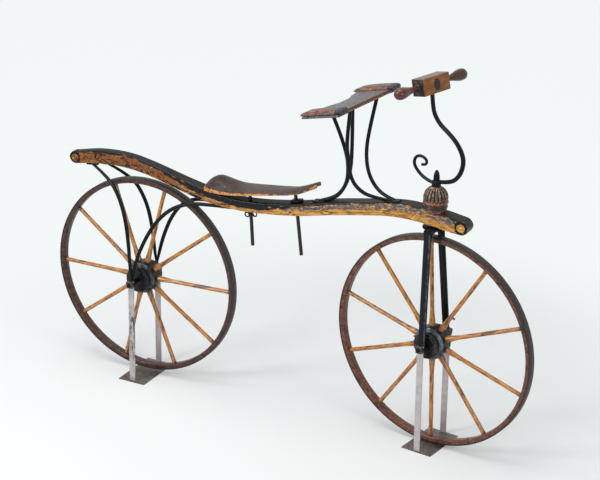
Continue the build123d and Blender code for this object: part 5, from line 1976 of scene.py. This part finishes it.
@dataclass
class Studio:
    """Pale floor and backdrop, soft lamps and the camera at the photograph's angle.

    Attributes:
        place: The camera's place in metres.
        heading: Its turn about Z, in degrees.
        pitch: How far it looks down, in degrees.
        roll: Its roll, in degrees.
        lens: Its focal length over a sensor 36 mm wide.
        floor_half: Half the floor's width in metres.
        lamps: Name, place, target, size and power of each soft lamp.
    """

    place: Spot = (3.001, -5.545, 3.160)
    heading: float = 28.03
    pitch: float = 22.19
    roll: float = 0.823
    lens: float = 127.755
    floor_half: float = 12.0
    lamps: tuple[tuple[str, Spot, Spot, float, float], ...] = (
        ("overhead", (-0.4, -0.6, 4.2), (0.0, 0.0, 0.5), 3.0, 100.0),
        ("front_left", (-2.4, -3.6, 2.7), (0.0, 0.0, 0.6), 1.5, 110.0),
        ("right", (4.2, -1.4, 2.2), (0.2, 0.0, 0.6), 1.8, 28.0))

    def build(self) -> None:
        """Builds the floor, the pale room, the lamps and the camera."""
        self.build_floor()
        self.build_room()
        self.build_lamps()
        self.build_camera()

    def looked_at(self, tree: bpy.types.NodeTree) -> bpy.types.NodeSocket:
        """Tells rays that show a surface from those that light it.

        Args:
            tree: Node tree of the material or the world.

        Returns:
            A socket of 1 for what is seen, directly, mirrored or through, and 0 otherwise.
        """
        path = add_node(tree, "ShaderNodeLightPath").outputs
        seen = path["Is Camera Ray"]
        for kind in ("Is Glossy Ray", "Is Transmission Ray"):
            seen = add_node(tree, "ShaderNodeMath", {"operation": "MAXIMUM"}, {},
                            {0: seen, 1: path[kind]}).outputs["Value"]
        return seen

    def build_floor(self) -> None:
        """Builds the white paper floor, which stays pale far off and keeps the machine's shadows."""
        bm = bmesh.new()
        bmesh.ops.create_grid(bm, x_segments=2, y_segments=2, size=self.floor_half)
        floor = placed(bm, "paper_floor")
        made, tree = new_material("white_paper")
        paper = add_node(tree, "ShaderNodeBsdfDiffuse", {}, {"Color": linear("#F2F3F3"), "Roughness": 0.0})
        glow = add_node(tree, "ShaderNodeEmission", {}, {"Color": linear("#F4F9F9"), "Strength": 1.0})
        spot = add_node(tree, "ShaderNodeTexCoord").outputs["Object"]
        far = add_node(tree, "ShaderNodeVectorMath", {"operation": "LENGTH"}, {}, {0: spot}).outputs["Value"]
        glowing = add_node(tree, "ShaderNodeMapRange", {"interpolation_type": "SMOOTHSTEP"}, {
            "From Min": 0.75, "From Max": 1.75, "To Min": 0.26, "To Max": 0.96}, {"Value": far})
        share = add_node(tree, "ShaderNodeMath", {"operation": "MULTIPLY"}, {},
                         {0: glowing.outputs["Result"], 1: self.looked_at(tree)})
        both = add_node(tree, "ShaderNodeMixShader", {}, {}, {
            0: share.outputs["Value"], 1: paper.outputs["BSDF"], 2: glow.outputs["Emission"]})
        add_node(tree, "ShaderNodeOutputMaterial", {}, {}, {"Surface": both.outputs["Shader"]})
        floor.data.materials.append(made)

    def build_room(self) -> None:
        """Builds the pale room: a dim light on the machine, a white wall where it is looked at."""
        world = bpy.data.worlds.new("pale_room")
        bpy.context.scene.world = world
        world.use_nodes = True
        tree = world.node_tree
        tree.nodes.clear()
        light = add_node(tree, "ShaderNodeBackground", {}, {"Color": linear("#EDF1F4"), "Strength": 0.33})
        wall = add_node(tree, "ShaderNodeBackground", {}, {"Color": linear("#F3F8F8"), "Strength": 1.0})
        both = add_node(tree, "ShaderNodeMixShader", {}, {}, {
            0: self.looked_at(tree), 1: light.outputs["Background"], 2: wall.outputs["Background"]})
        add_node(tree, "ShaderNodeOutputWorld", {}, {}, {"Surface": both.outputs["Shader"]})

    def build_lamps(self) -> None:
        """Builds the soft square lamps: one overhead, one from the front left, a weak one from the right."""
        for name, spot, target, size, power in self.lamps:
            data = bpy.data.lights.new(name, "AREA")
            data.shape = "SQUARE"
            data.size = size
            data.energy = power
            lamp = bpy.data.objects.new(name, data)
            lamp.location = spot
            lamp.rotation_euler = (Vector(target) - Vector(spot)).to_track_quat("-Z", "Y").to_euler()
            bpy.context.scene.collection.objects.link(lamp)

    def build_camera(self) -> None:
        """Builds the camera from its place, heading, pitch and a touch of roll."""
        a, e, r = (math.radians(v) for v in (self.heading, self.pitch, self.roll))
        ahead = Vector((-math.sin(a) * math.cos(e), math.cos(a) * math.cos(e), -math.sin(e)))
        right = Vector((math.cos(a), math.sin(a), 0))
        above = right.cross(ahead)
        right, above = right * math.cos(r) + above * math.sin(r), above * math.cos(r) - right * math.sin(r)
        data = bpy.data.cameras.new("photo_camera")
        data.lens = self.lens
        data.sensor_width = 36.0
        camera = bpy.data.objects.new("photo_camera", data)
        turned = Matrix((right, above, -ahead)).transposed().to_4x4()
        camera.matrix_world = Matrix.Translation(self.place) @ turned
        bpy.context.scene.collection.objects.link(camera)
        bpy.context.scene.camera = camera


def dress_bolts(mesh: bpy.types.Mesh) -> None:
    """Gives the armrest's bolts, which stay in view as they are, their iron finish."""
    mesh.materials.clear()
    mesh.materials.append(BLACK_IRON.material())


def main() -> None:
    """Builds the whole machine on its frame."""
    logging.basicConfig(level=logging.INFO, format="%(message)s")
    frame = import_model()
    bpy.context.scene.view_settings.view_transform = "Standard"
    front_angles = (22.0, 58.0, 94.0, 130.5, 166.0, 201.0, 234.5, 270.3, 306.0, 342.7)
    rear_angles = (0.6, 38.0, 76.6, 111.5, 144.8, 182.2, 217.1, 254.5, 289.2, 323.2)
    parts = (
        Studio(),
        Beam(),
        Wheel("front", Body.FRONT_WHEEL, FRONT_AXLE, 350.0, front_angles, -8.0, FELLOE_RUBBED_AND_LIT, (1.0, 1.0)),
        Wheel("rear", Body.REAR_WHEEL, REAR_AXLE, 340.0, rear_angles, REAR_CENTRE, FELLOE_ASH, (0.8, 0.7)),
        AxleSet("front", Body.STEERING, FRONT_AXLE, 0.0, 78.0),
        AxleSet("rear", Body.FRAME, REAR_AXLE, REAR_CENTRE, 80.9),
        Irons(),
        SteeringHead(),
        Tiller(),
        Fork(),
        Saddle(),
        Armrest(),
        Stand("front", Body.STEERING, STEERED @ shift(AXLE_X), FRONT_AXLE_Z, 0.0, 78.0, (107.0, 172.0), False),
        Stand("rear", Body.FRAME, shift(-AXLE_X), REAR_AXLE_Z, REAR_CENTRE, 80.9, (100.0, 185.8), True),
    )
    for part in parts:
        part.build()
    dress_bolts(frame["nodes"]["armrest_bolts"].data)


if __name__ == "__main__":
    main()
